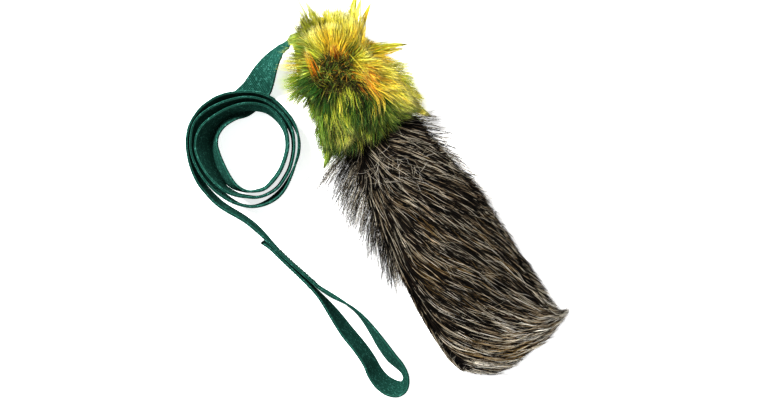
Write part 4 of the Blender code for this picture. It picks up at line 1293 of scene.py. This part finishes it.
def trim(paths, beyond, least):
    """Shortens strands that reach past the outline, seen from above. beyond
    is 0 at the close edge and 1 at the longest tips."""
    gx, gy = on_grid(paths)
    a, r = np.arctan2(gy - HEAD_MID[1], gx - HEAD_MID[0]), np.hypot(gx - HEAD_MID[0], gy - HEAD_MID[1])
    close, tips = np.interp(a, *CLOSE_EDGE), np.interp(a, *TIPS_EDGE)
    return shorten(paths, r - (close + (tips - close) * beyond[:, None]), least)


def hue_at(gx, gy, near=4.0, power=2.2):
    """A random colour family, most often that of a near control spot."""
    c = np.array(HEAD_HUES, float)
    d2 = (gx[:, None] - c[None, :, 0]) ** 2 + (gy[:, None] - c[None, :, 1]) ** 2
    w = 1 / (d2 + near * near) ** power
    w /= w.sum(1, keepdims=True)
    pick = (rng.random((len(gx), 1)) > np.cumsum(w, 1)).sum(1)
    return c[np.minimum(pick, len(c) - 1), 2].astype(int)


def over_height(x, y):
    """What the head's pile can't go below: the head's own top, and the tail's."""
    return np.maximum(head_height(x, y), np.where(x > HEAD_X1 - 4 * MM, tail_height(x, y) + 4.2 * MM, 0.0))


def pile(root, nrm, length, rise, turn, curl, droop, steps=6, flow=HEAD_FLOW, near=5.0):
    out = np.empty((len(root), steps + 1, 3))
    out[:, 0] = root
    plan = root.copy()
    top = nrm[:, 2] > 0.12
    for k in range(1, steps + 1):
        t = k / steps
        gx, gy = on_grid(plan + nrm * (rise * length * 0.5)[:, None])
        a = flow_at(gx, gy, flow, near) + turn + curl * t
        plan = plan + (np.cos(a)[:, None] * RIGHT + np.sin(a)[:, None] * DOWN) * (length / steps * (0.55 + 0.45 * t))[:, None]
        q = plan + nrm * (rise * length * (1 - (1 - t) ** 2))[:, None]
        q[:, 2] -= droop * length * t * t
        under = over_height(q[:, 0], q[:, 1]) + (0.4 + 2.2 * t) * MM
        q[:, 2] = np.where(top, np.maximum(q[:, 2], under), q[:, 2])
        q[:, 2] = np.maximum(q[:, 2], (0.4 + 0.5 * t) * MM)
        out[:, k] = q
    return out


def head_fur():
    sets = []
    # the pile
    n_top, n_low = 14500, 4200
    p1, m1 = head_roots(n_top, 1)
    p2, m2 = head_roots(n_low, -1)
    root, nrm = np.vstack([p1, p2]), np.vstack([m1, m2])
    n = len(root)
    gx, gy = on_grid(root)
    far = np.hypot(gx - WHORL[0], gy - WHORL[1])
    length = rng.uniform(24, 38, n) * MM
    length *= np.where(nrm[:, 2] < -0.3, 0.6, 1.0)
    length *= np.clip(0.45 + far / 40, 0.45, 1.0)
    skirt = (root[:, 0] > -0.1) & (nrm[:, 2] > -0.2)
    length = np.where(skirt, length * 1.12, length)
    rise = rng.uniform(0.10, 0.34, n)
    rise = np.where(nrm[:, 2] < -0.2, rise * 0.35, rise)
    turn = np.radians(9 * waves(root, 0.03, 4) + rng.normal(0, 9, n))
    curl = np.radians(rng.normal(0, 14, n))
    paths = pile(root, nrm, length, rise, turn, curl, rng.uniform(0.0, 0.16, n))
    guides = rng.choice(n, 900, replace=False)
    reach = np.where(rng.random(len(guides)) < 0.30, rng.uniform(0.4, 1.0, len(guides)), rng.uniform(0, 0.2, len(guides)))
    paths, own = gather(paths, guides, rng.uniform(0.25, 0.92, n), 1.5)
    paths = trim(paths, np.clip(reach[own] * rng.uniform(0.75, 1.0, n) + 0.05 * rng.normal(0, 1, n), 0, 1), 0.07)
    z_ok = np.maximum(paths[..., 2], 0.4 * MM)
    paths[..., 2] = z_ok
    top = (nrm[:, 2] > 0.12)[:, None]
    under = over_height(paths[..., 0].ravel(), paths[..., 1].ravel()).reshape(n, -1) + np.linspace(0, 2.4, 7)[None] * MM
    paths[..., 2] = np.where(top, np.maximum(paths[..., 2], under), paths[..., 2])
    mx, my = on_grid(paths[:, 3])
    lock_hue = hue_at(mx[guides], my[guides])
    own_hue = hue_at(mx, my)
    tile = np.where(rng.random(n) < 0.55, lock_hue[own], own_hue)
    tile = np.where((tile == ORANGE) & (rng.random(n) < 0.45), GOLD, tile)
    tile = np.where(rng.random(n) < 0.09, DARKTIP, tile)
    tile = np.where((nrm[:, 2] < -0.3) & (rng.random(n) < 0.6), DEEP, tile)
    tone = np.clip(0.58 + 0.20 * rng.normal(0, 1, len(guides))[own] + 0.22 * rng.normal(0, 1, n), 0.02, 0.98)
    tone = np.where(nrm[:, 2] < -0.2, tone * 0.7, tone)
    # the part that hangs over the tail is greener; the dark gaps between its locks are painted shade
    hang = (my > 94) & (mx < 392)
    tile = np.where(hang & (tile == YELLOW) & (rng.random(n) < 0.4), LIME, tile)
    tile = np.where(hang & (tile == LIME) & (rng.random(n) < 0.34), LEAF, tile)
    tile = np.where(hang & (tile == LEAF) & (rng.random(n) < 0.3), DEEP, tile)
    gap = rng.random(len(guides))[own]
    tile = np.where(hang & (gap < 0.26) & (rng.random(n) < 0.85), rng.choice([DEEP, DEEP, MATTED], n), tile)
    tone = np.where(hang, np.clip(tone + np.where(gap > 0.6, 0.2, -0.1), 0.02, 0.98), tone)
    tone = np.clip(tone + 0.14 * np.clip((mx - 365) / 25, 0, 1) * (my < 100), 0.02, 0.99)
    # a matted dark patch beside it
    patch = np.exp(-(((mx - 368) / 19) ** 2 + ((my - 105) / 11) ** 2))
    pick = rng.random(n) < 0.75 * patch * (gap < 0.65)
    tile = np.where(pick, rng.choice([MATTED, DEEP, DEEP, LEAF], n), tile)
    tone = np.where(pick, tone * 0.55, tone)
    # painted shade: the locks in the gaps are darkened further
    tone = np.where(hang & (gap < 0.26), tone * 0.3, tone)
    sets.append((paths, rng.uniform(0.34, 0.5, n) * np.where(reach[own] > 0.35, 0.74, 1.0) * MM, tile, tone))

    # short matted pile at the whorl
    n = 1500
    a, r = rng.uniform(0, 2 * np.pi, n), np.sqrt(rng.uniform(0, 1, n))
    px = WHORL[0] + 4 + 19 * r * np.cos(a)
    py = WHORL[1] + 4 + 15 * r * np.sin(a)
    root = grid(px, py, 50 * MM)
    root[:, 2] = head_height(root[:, 0], root[:, 1])
    nrm = np.tile([[0, 0, 1.0]], (n, 1))
    swirl = a + 1.2 + rng.normal(0, 0.9, n)
    out = np.empty((n, 7, 3))
    out[:, 0] = root
    plan = root.copy()
    length = rng.uniform(8, 17, n) * MM
    high = rng.uniform(2.5, 8.5, n) * MM
    bend = rng.normal(0.4, 1.1, n)
    for k in range(1, 7):
        t = k / 6
        b = swirl + bend * t
        plan = plan + (np.cos(b)[:, None] * RIGHT + np.sin(b)[:, None] * DOWN) * (length / 6)[:, None]
        q = plan.copy()
        q[:, 2] = np.maximum(head_height(q[:, 0], q[:, 1]), root[:, 2] - 3 * MM) + high * (1 - (1 - t) ** 2)
        out[:, k] = q
    tile = rng.choice([MATTED, DEEP, LIME, LEAF, ORANGE, GOLD], n, p=[0.66, 0.12, 0.07, 0.06, 0.05, 0.04])
    sets.append((out, rng.uniform(0.3, 0.45, n) * MM, tile, rng.uniform(0.0, 1.0, n) ** 1.3))

    # single locks that stand out
    def lock(x, y, z, angle, size, count, hues, curl_deg=0.0, up=0.1, spread=2.2, thin=0.3, tight=0.9):
        c = grid(x, y, z * MM)
        c[2] = max(c[2], float(head_height(c[0], c[1])) + 6 * MM)
        start = c + rng.normal(0, spread, (count, 3)) * MM * np.array([1, 1, 0.5])
        base = np.tile([[0.0, 0.0, 1.0]], (count, 1))
        ln = size * MM * rng.uniform(0.72, 1.0, count)
        path = np.empty((count, 7, 3))
        path[:, 0] = start
        q = start.copy()
        wob = np.radians(rng.normal(0, 6, count))
        for k in range(1, 7):
            t = k / 6
            b = np.radians(angle + curl_deg * t) + wob * (1 - t)
            q = q + (np.cos(b)[:, None] * RIGHT + np.sin(b)[:, None] * DOWN + base * up * (1 - 1.6 * t)) * (ln / 6)[:, None]
            path[:, k] = q
        mid = path.mean(0, keepdims=True)
        path += (mid - path) * (tight * np.linspace(0, 1, 7) ** 1.2)[None, :, None]
        path[..., 2] = np.maximum(path[..., 2], 0.5 * MM)
        sets.append((path, rng.uniform(thin, thin + 0.14, count) * MM, rng.choice(hues, count), rng.uniform(0.35, 0.9, count)))

    lock(318, 79, 43, -110, 31, 46, [ORANGE, ORANGE, GOLD, MATTED, LEAF], -8, 0.10, 2.3, 0.2, 0.5)
    lock(336, 58, 52, -100, 13, 40, [ORANGE, ORANGE, GOLD, MATTED], -6, 0.10, 2.0, 0.24, 0.5)
    # the pile that lies over the webbing where it leaves the head
    for x, y, z, angle, size, count, hues in (
        (305, 37, 40, 166, 14, 34, [LIME, LEAF, DARKTIP]), (307, 41, 41, 174, 16, 46, [LIME, LEAF, LEAF]),
        (308, 45, 41, -176, 17, 50, [LEAF, LIME, GOLD]), (309, 49, 40, -164, 17, 46, [LEAF, LIME, LEAF]),
        (310, 54, 38, -150, 15, 34, [LEAF, DEEP, LIME]), (303, 32, 38, -160, 10, 14, [DARKTIP, LIME]),
        (302, 34, 42, 160, 13, 44, [LEAF, LIME, DARKTIP]), (300, 37, 42, 168, 11, 44, [LEAF, LIME, LEAF]),
        (299, 40, 42, 174, 10, 44, [LIME, LEAF, DEEP]), (301, 44, 42, -174, 12, 40, [LEAF, LIME, DEEP]),
    ):
        lock(x, y, z, angle, size, count, hues, rng.normal(0, 8), 0.03, 2.6, 0.2, rng.uniform(0.3, 0.5))
    # spikes along the left, the top and the right
    for x, y, z, angle, size, count, hues in (
        (309, 57, 32, -166, 24, 26, [DARKTIP, LIME]), (307, 64, 33, -176, 25, 34, [LIME, YELLOW, DARKTIP]),
        (307, 70, 33, 180, 26, 44, [LIME, YELLOW, GOLD]), (306, 77, 32, 172, 25, 44, [LIME, LEAF, LEAF]),
        (307, 83, 31, 162, 25, 50, [LIME, LEAF]), (308, 88, 30, 154, 27, 66, [LEAF, LIME, LEAF]),
        (310, 92, 28, 148, 24, 34, [LEAF, DEEP, LIME]), (313, 99, 27, 124, 13, 10, [DARKTIP, LEAF]),
        (311, 50, 33, -150, 15, 16, [LEAF, DARKTIP]), (309, 44, 34, -138, 14, 16, [LEAF, DARKTIP, DARKTIP]),
        (309, 38, 33, -124, 20, 22, [DARKTIP, LIME]), (313, 33, 34, -118, 24, 22, [LIME, DARKTIP]),
        (318, 30, 35, -112, 22, 26, [LIME, YELLOW]), (323, 27, 35, -106, 20, 26, [YELLOW, LIME]),
        (329, 25, 36, -100, 18, 26, [YELLOW, LIME]), (335, 24, 36, -96, 16, 26, [YELLOW, LIME]),
        (341, 24, 36, -94, 18, 24, [YELLOW, LIME]), (347, 23, 36, -88, 20, 26, [YELLOW, LIME]),
        (361, 34, 36, -68, 14, 14, [GOLD, YELLOW]), (384, 63, 36, -10, 20, 24, [LIME, LEAF]),
        (391, 67, 35, -2, 20, 26, [LIME, YELLOW]), (396, 75, 34, 6, 18, 26, [LIME, YELLOW]),
        (402, 84, 33, 16, 18, 26, [YELLOW, LIME]), (408, 92, 32, 26, 18, 26, [YELLOW, LIME]), (416, 104, 30, 36, 18, 24, [YELLOW, LIME]),
    ):
        lock(x, y, z, angle + rng.normal(0, 4), size, count, hues, rng.normal(0, 8), 0.04, 2.3, 0.14, rng.uniform(0.15, 0.6))
    # thin single hairs well clear of the outline
    lock(311, 98, 24, 112, 24, 10, [DARKTIP, MATTED, LEAF], -10, 0.0, 4.0, 0.13, 0.05)
    lock(311, 30, 34, -124, 21, 12, [DARKTIP, LIME], 0, 0.02, 3.5, 0.13, 0.05)
    lock(336, 27, 35, -100, 19, 10, [DARKTIP, YELLOW], 0, 0.02, 3.5, 0.13, 0.05)
    lock(390, 66, 33, 2, 23, 10, [DARKTIP, LIME], 0, 0.0, 5.0, 0.13, 0.05)
    lock(366, 52.5, 40, -22, 41, 62, [GOLD, YELLOW, LIME, LIME], 20, 0.05)
    lock(372, 55, 38, -14, 30, 34, [GOLD, YELLOW], 8, 0.05)
    lock(351, 20, 36, -82, 30, 46, [YELLOW, LIME], 4)
    lock(356, 24, 36, -78, 26, 36, [YELLOW, LIME], 0)
    lock(362, 26, 36, -70, 24, 30, [GOLD, YELLOW, LIME], 4)
    lock(320, 26, 34, -122, 28, 26, [LIME, DARKTIP], 0)
    lock(308, 26, 34, -116, 28, 18, [DARKTIP, LIME], 6)
    lock(302, 38, 36, -126, 24, 12, [DARKTIP, DARKTIP, LIME], 4, 0.1, 1.4, 0.2, 0.5)
    lock(331, 134, 33, 88, 34, 70, [LEAF, LEAF, DEEP, LIME], 26, 0.0, 2.6)
    lock(345, 112, 38, 84, 34, 60, [LIME, YELLOW, LEAF], 4, 0.0, 2.4)
    lock(338, 110, 38, 88, 36, 50, [LIME, YELLOW], 0, 0.0, 2.2)
    lock(400, 98, 33, 34, 33, 70, [YELLOW, YELLOW, GOLD], -2, 0.0, 2.8)
    lock(404, 104, 30, 30, 26, 30, [YELLOW, LIME], -12, 0.0, 2.0)
    lock(409, 101, 30, 40, 27, 12, [MATTED], -8, 0.0, 1.2, 0.26, 0.5)
    lock(420, 113, 26, 24, 18, 8, [MATTED], -14, 0.0, 0.8, 0.26, 0.5)
    lock(369, 60, 44, 28, 34, 34, [YELLOW, LIME, GOLD], 6, 0.02, 2.8, 0.17, 0.5)
    lock(352, 58, 50, 42, 26, 24, [LIME, YELLOW, GOLD], 16, 0.02, 2.4, 0.17, 0.5)

    # stray single hairs round the outline
    n = 1100
    p, m = head_roots(n, 1)
    keep = np.hypot(*(np.stack(on_grid(p)) - np.array(WHORL)[:, None])) > 22
    p, m = p[keep], m[keep]
    n = len(p)
    paths = pile(p, m, rng.uniform(34, 48, n) * MM, rng.uniform(0.1, 0.28, n), np.radians(rng.normal(0, 18, n)), np.radians(rng.normal(0, 24, n)),
                 rng.uniform(0.0, 0.12, n))
    paths = trim(paths, rng.uniform(0.3, 1.12, n), 0.3)
    sets.append((paths, rng.uniform(0.13, 0.22, n) * MM, rng.choice([DARKTIP, LIME, LEAF, MATTED], n, p=[0.45, 0.25, 0.1, 0.2]), rng.uniform(0.2, 0.8, n)))
    return [np.concatenate([s[i] for s in sets]) for i in range(4)]


def build_head_fur():
    paths, width, tile, tone = head_fur()
    mat = hair_material("long_bright_pile", HEAD_COLOURS, 0.52, 0.09)
    reach = paths[..., 0].max(1)
    own = np.nonzero(reach < -0.0625)[0]
    skirt = np.nonzero(reach >= -0.0625)[0]
    out = []
    for label, index, bend in (("head_pile", own, False), ("skirt_pile", skirt, True)):
        for k, part in enumerate(chunks(index)):
            ob = strand_mesh(f"{label}_{k + 1}", paths[part], width[part], tile[part], tone[part], mat)
            if bend:
                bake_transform(ob)
            else:
                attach(ob, "head")
            out.append(ob)
    print("STRANDS head", len(paths), len(own), len(skirt), "box", (paths.min((0, 1)) * 1000).round(1), (paths.max((0, 1)) * 1000).round(1))
    return out


HEAD_FUR = build_head_fur()


# -------------------------------------------------------------- skins under the fur
def pelt_skin_material(name, low, mid, high, scale):
    """Dense short underfur: streaks that run along X with dark roots between."""
    s = Shader(name)
    where = s.place()
    stretch = s.node("ShaderNodeMapping")
    stretch.inputs["Scale"].default_value = (0.16, 1.0, 1.0)
    s.link(where, stretch.inputs["Vector"])
    streak = s.noise(stretch.outputs[0], scale, 5.0, 0.7, 0.3)
    broad = s.noise(where, 55.0, 2.0)
    mixed = s.math("MULTIPLY_ADD", broad, 0.4, s.math("MULTIPLY", streak, 0.7))
    colour = s.ramp(mixed, [(0.30, srgb(*low)), (0.52, srgb(*mid)), (0.74, srgb(*high))])
    s.bump(streak, 0.0012, 1.0)
    return s.set(Base_Color=colour, Roughness=s.math("MULTIPLY_ADD", streak, -0.2, 0.95), Specular_IOR_Level=0.15)


def anchor_stations(extra):
    m, i, h = ((MOUTH + MOUTH_DIR * d - np.array([0, 0, MOUTH_FALL * d])) for d in (extra, -4 * MM, -10 * MM))
    rows = [
        (-63.4, 0.0, 15.8, 0.0), (-72, 0.0, 17.5, 10.0), (-84, 0.0, 21.5, 50.0), (-95, 0.0, 25.0, 84.0), (-105, 0.0, 26.5, 90.0),
        (-125, -0.4, 27.0, 90.0), (-141, -3.5, 27.9, 86.0), (-151, -10.5, 28.8, 79.0),
    ]
    rows = [(x * MM, y * MM, z * MM, r) for x, y, z, r in rows]
    rows += [(*h, 75.0), (*i, 72.0), (*m, 70.0)]
    return smooth(rows, STEP)


def cloth(name, side, mat, thick=1.4 * MM):
    """One half of the cover's backing, with the slot that the webbing leaves by."""
    rows, cols = 70, 69
    outer = head_grid(side, rows, cols)
    normal = np.cross(np.gradient(outer, axis=0), np.gradient(outer, axis=1))
    normal /= np.linalg.norm(normal, axis=2, keepdims=True) + 1e-12
    middle = np.stack([outer[..., 0], np.full((rows, cols), HEAD_Y), table(outer[..., 0], SEAM_Z)], -1)
    if np.sum(normal * (outer - middle)) < 0:
        normal = -normal
    inner = outer - normal * thick
    level = middle[..., 2] + side * 0.9 * MM
    inner[..., 2] = np.where(side * (inner[..., 2] - level) < 0, level, inner[..., 2])
    c, t, w, m = axes_of(anchor_stations(6 * MM)[-34:])
    at = (outer[:-1, :-1] + outer[1:, :-1] + outer[:-1, 1:] + outer[1:, 1:]) / 4
    d = at[:, :, None] - c
    slot = (np.abs((d * t).sum(-1)) < STEP) & (np.abs((d * w).sum(-1)) < STRAP_W / 2 + 0.9 * MM) & (np.abs((d * m).sum(-1)) < STRAP_T / 2 + 1.0 * MM)
    i, j = np.nonzero(~slot.any(-1))
    count = rows * cols
    top = np.stack([i * cols + j, i * cols + j + 1, (i + 1) * cols + j + 1, (i + 1) * cols + j], -1)
    edges = np.concatenate([top[:, [k, (k + 1) % 4]] for k in range(4)])
    known = {(p, q) for p, q in edges.tolist()}
    rim = np.array([(q, p, p + count, q + count) for p, q in sorted(known) if (q, p) not in known])
    ob = mesh_object(name, np.concatenate([outer.reshape(-1, 3), inner.reshape(-1, 3)]), np.concatenate([top, top[:, ::-1] + count, rim]), mat)
    bm = bmesh.new()
    bm.from_mesh(ob.data)
    bmesh.ops.delete(bm, geom=[v for v in bm.verts if not v.link_faces], context="VERTS")
    bmesh.ops.recalc_face_normals(bm, faces=bm.faces)
    bm.to_mesh(ob.data)
    bm.free()
    ob.data.shade_smooth()
    ob.data.set_sharp_from_angle(angle=math.radians(50))
    return ob


def build_skins():
    out = []
    anchor = ribbon("anchor_webbing", anchor_stations(0.0), WEBBING, start_mm=1900.0)
    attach(anchor, "head")
    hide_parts("strap_anchor")
    skins = []
    for name, side, node, slot, colours in (
        ("head_cloth_top", 1, "head_cover_top", "pile_yellow", ((22, 26, 8), (70, 74, 20), (128, 116, 36))),
        ("head_cloth_bottom", -1, "head_cover_bottom", "pile_green", ((16, 24, 8), (48, 66, 18), (92, 110, 34))),
    ):
        ob = cloth(name, side, pelt_skin_material(name + "_cloth", *colours, 900.0))
        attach(ob, "head")
        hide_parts(node)
        skins.append(ob)
        print("SKIN", name, len(ob.data.polygons))
    # the tape between the two halves
    tape = Shader("woven_tape")
    where = tape.place()
    split = tape.node("ShaderNodeSeparateXYZ")
    tape.link(where, split.inputs[0])
    ribs = tape.math("SINE", tape.math("MULTIPLY", split.outputs[0], 2 * math.pi / 0.0011))
    cross = tape.math("SINE", tape.math("MULTIPLY", split.outputs[1], 2 * math.pi / 0.0009))
    weave = tape.math("MULTIPLY_ADD", tape.math("MULTIPLY", ribs, cross), 0.5, 0.5)
    tape.bump(weave, 0.0002, 0.8)
    tape.set(Base_Color=tape.ramp(weave, [(0.0, srgb(44, 48, 18)), (1.0, srgb(96, 104, 42))]), Roughness=0.8)
    for name, side, start in (("tape_right", 1, -160.0), ("tape_left", -1, -142.0)):
        x = np.linspace(start * MM, HEAD_X1 - 1.0 * MM, 60)
        w, h, z0 = head_section(x, BARE_HEAD, 5 * MM, SKIN_X0, 11 * MM, 1)
        wave = 0.12 * MM * np.sin(np.arange(60) * 1.9)
        y0 = HEAD_Y + side * (w + 0.7 * MM + wave)
        y1 = HEAD_Y + side * np.maximum(w - 4.6 * MM, 0.5 * MM)
        rings = np.stack([np.stack([x, yy, z0 + dz], 1) for yy, dz in ((y0, -0.55 * MM), (y0, 0.55 * MM), (y1, 0.55 * MM), (y1, -0.55 * MM))], 1)
        ob = loft(name, rings, tape.m, sharp=40)
        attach(ob, "head")
        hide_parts("seam_" + name)
    # the folded pelt
    # the pelt's dark colour is partly its own underfur and partly painted shade for the gaps between the hairs
    hide = pelt_skin_material("pelt_underfur", (9, 7, 6), (26, 21, 17), (60, 52, 43), 1100.0)

    def pelt(name, x0, x1, rows):
        x = np.linspace(x0, x1, rows)
        yc, w, z0, h = tail_section(x)
        gap, pocket_y, pocket_z, n = 0.75 * MM, 13.6 * MM, 1.7 * MM, 56
        a0 = np.arcsin(np.minimum(1.0, (gap / h) ** (1 / SQUARE)))
        a = -np.pi + a0[:, None] + (2 * np.pi - 2 * a0)[:, None] * np.arange(n + 1)[None] / n
        y = yc[:, None] + w[:, None] * signed(np.cos(a), SQUARE)
        z = z0[:, None] + np.clip(h[:, None] * 1.06 * signed(np.sin(a), SQUARE), -h[:, None], h[:, None])
        z[:, 0], z[:, -1] = z0 - gap, z0 + gap
        px = [(-pocket_y, gap), (-pocket_y, pocket_z), (pocket_y, pocket_z), (pocket_y, -pocket_z), (-pocket_y, -pocket_z), (-pocket_y, -gap)]
        py = np.array([q[0] for q in px])[None] + 0 * x[:, None]
        pz = z0[:, None] + np.array([q[1] for q in px])[None]
        yy, zz = np.concatenate([y, py], 1), np.concatenate([z, pz], 1)
        rings = np.stack([np.repeat(x[:, None], yy.shape[1], 1), yy, zz], -1)
        return loft(name, rings, hide, sharp=60)

    front = pelt("pelt_front", TAIL_FRONT, TAIL_CUT, 40)
    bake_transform(front)
    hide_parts("tail_pelt_root")
    rear = pelt("pelt_rear", TAIL_CUT, TAIL_TIP, 90)
    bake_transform(rear)
    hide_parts("tail_pelt_tip", "tail_pelt_root")
    # its whip stitching
    sinew = Shader("waxed_thread")
    twist = sinew.noise(sinew.place(), 2600.0, 2.0, 0.6, 0.8)
    sinew.bump(twist, 0.0002, 0.8)
    sinew.set(Base_Color=sinew.ramp(twist, [(0.3, srgb(24, 20, 16)), (0.7, srgb(70, 58, 44))]), Roughness=0.6)

    def whip(name, x0, x1):
        turns = (x1 - x0) / (5.2 * MM)
        n = int(turns * 14)
        ph = np.linspace(0, 2 * np.pi * turns, n)
        x = np.linspace(x0, x1, n)
        yc, w, z0, h = tail_section(x)
        path = np.stack([x, yc - w + 1.3 * MM - 1.9 * MM * np.cos(ph), z0 + 1.9 * MM * np.sin(ph)], 1)
        t = np.gradient(path, axis=0)
        t /= np.linalg.norm(t, axis=1)[:, None]
        u = np.cross(t, [1.0, 0, 0])
        u /= np.linalg.norm(u, axis=1)[:, None]
        v = np.cross(t, u)
        ring = [path + 0.36 * MM * (math.cos(q) * u + math.sin(q) * v) for q in np.arange(6) * math.pi / 3]
        return loft(name, np.stack(ring, 1), sinew.m)

    w1 = whip("whip_stitch_front", -57 * MM, 40 * MM)
    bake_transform(w1)
    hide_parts("tail_seam_root")
    w2 = whip("whip_stitch_rear", 40.4 * MM, 150 * MM)
    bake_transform(w2)
    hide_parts("tail_seam_tip", "tail_seam_root")
    return skins, front, rear


SKINS, PELT_FRONT, PELT_REAR = build_skins()


# ------------------------------------------------------------ the carried nodes
def node_materials():
    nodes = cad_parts

    def give(names, mat):
        for n in names:
            ob = nodes[n]
            ob.data.materials.clear()
            ob.data.materials.append(mat)

    s = Shader("fibre_filling")
    f = s.noise(s.place(), 700.0, 6.0, 0.75, 1.6)
    s.bump(f, 0.0012, 1.0)
    s.set(Base_Color=s.ramp(f, [(0.3, srgb(206, 204, 198)), (0.7, srgb(244, 243, 240))]), Roughness=0.95, Sheen_Weight=0.3)
    give(("stuffing_left", "stuffing_right"), s.m)
    s = Shader("moulded_plastic")
    f = s.noise(s.place(), 420.0, 3.0)
    s.bump(f, 0.00008, 0.6)
    s.set(Base_Color=s.ramp(f, [(0.3, srgb(214, 220, 224)), (0.7, srgb(236, 240, 242))]), Roughness=s.math("MULTIPLY_ADD", f, 0.2, 0.28))
    give(("squeaker_base", "squeaker_bulb"), s.m)
    s = Shader("reed_moulding")
    f = s.noise(s.place(), 900.0, 3.0)
    s.bump(f, 0.00005, 0.6)
    s.set(Base_Color=s.ramp(f, [(0.3, srgb(206, 92, 34)), (0.7, srgb(232, 122, 52))]), Roughness=s.math("MULTIPLY_ADD", f, 0.15, 0.25))
    give(("squeaker_reed",), s.m)
    s = Shader("bound_thread")
    split = s.node("ShaderNodeSeparateXYZ")
    s.link(s.place(), split.inputs[0])
    turn = s.math("SINE", s.math("MULTIPLY", split.outputs[0], 2 * math.pi / 0.00075))
    f = s.noise(s.place(), 2200.0, 2.0)
    s.bump(s.math("MULTIPLY_ADD", f, 0.3, turn), 0.0002, 1.0)
    s.set(Base_Color=s.ramp(s.math("MULTIPLY_ADD", turn, 0.5, 0.5), [(0.0, srgb(16, 13, 10)), (1.0, srgb(62, 52, 40))]), Roughness=0.65)
    give(("neck_binding", "anchor_bar_tack"), s.m)
    s = Shader("core_webbing")
    split = s.node("ShaderNodeSeparateXYZ")
    s.link(s.place(), split.inputs[0])
    a = s.math("SINE", s.math("MULTIPLY", split.outputs[0], 2 * math.pi / 0.0012))
    b = s.math("SINE", s.math("MULTIPLY", split.outputs[1], 2 * math.pi / 0.0018))
    weave = s.math("MULTIPLY_ADD", s.math("MULTIPLY", a, b), 0.5, 0.5)
    s.bump(weave, 0.0002, 0.9)
    s.set(Base_Color=s.ramp(weave, [(0.0, srgb(8, 60, 48)), (1.0, srgb(48, 132, 108))]), Roughness=0.7)
    give(("tail_core_root", "tail_core_tip"), s.m)


node_materials()


# --------------------------------------------------------------------- floor
def floor():
    s = Shader("floor_paper")
    n = s.noise(s.place(), 900.0, 2.0)
    s.set(Base_Color=s.mix(n, (0.90, 0.90, 0.90), (0.93, 0.93, 0.93)), Roughness=0.9, Specular_IOR_Level=0.1,
          Emission_Color=(1.0, 1.0, 1.0), Emission_Strength=0.78)
    size = 6.0
    ob = mesh_object("floor", [(-size, -size, 0), (size, -size, 0), (size, size, 0), (-size, size, 0)], np.array([[0, 1, 2, 3]]), s.m)
    ob.location.z = -0.0002


floor()
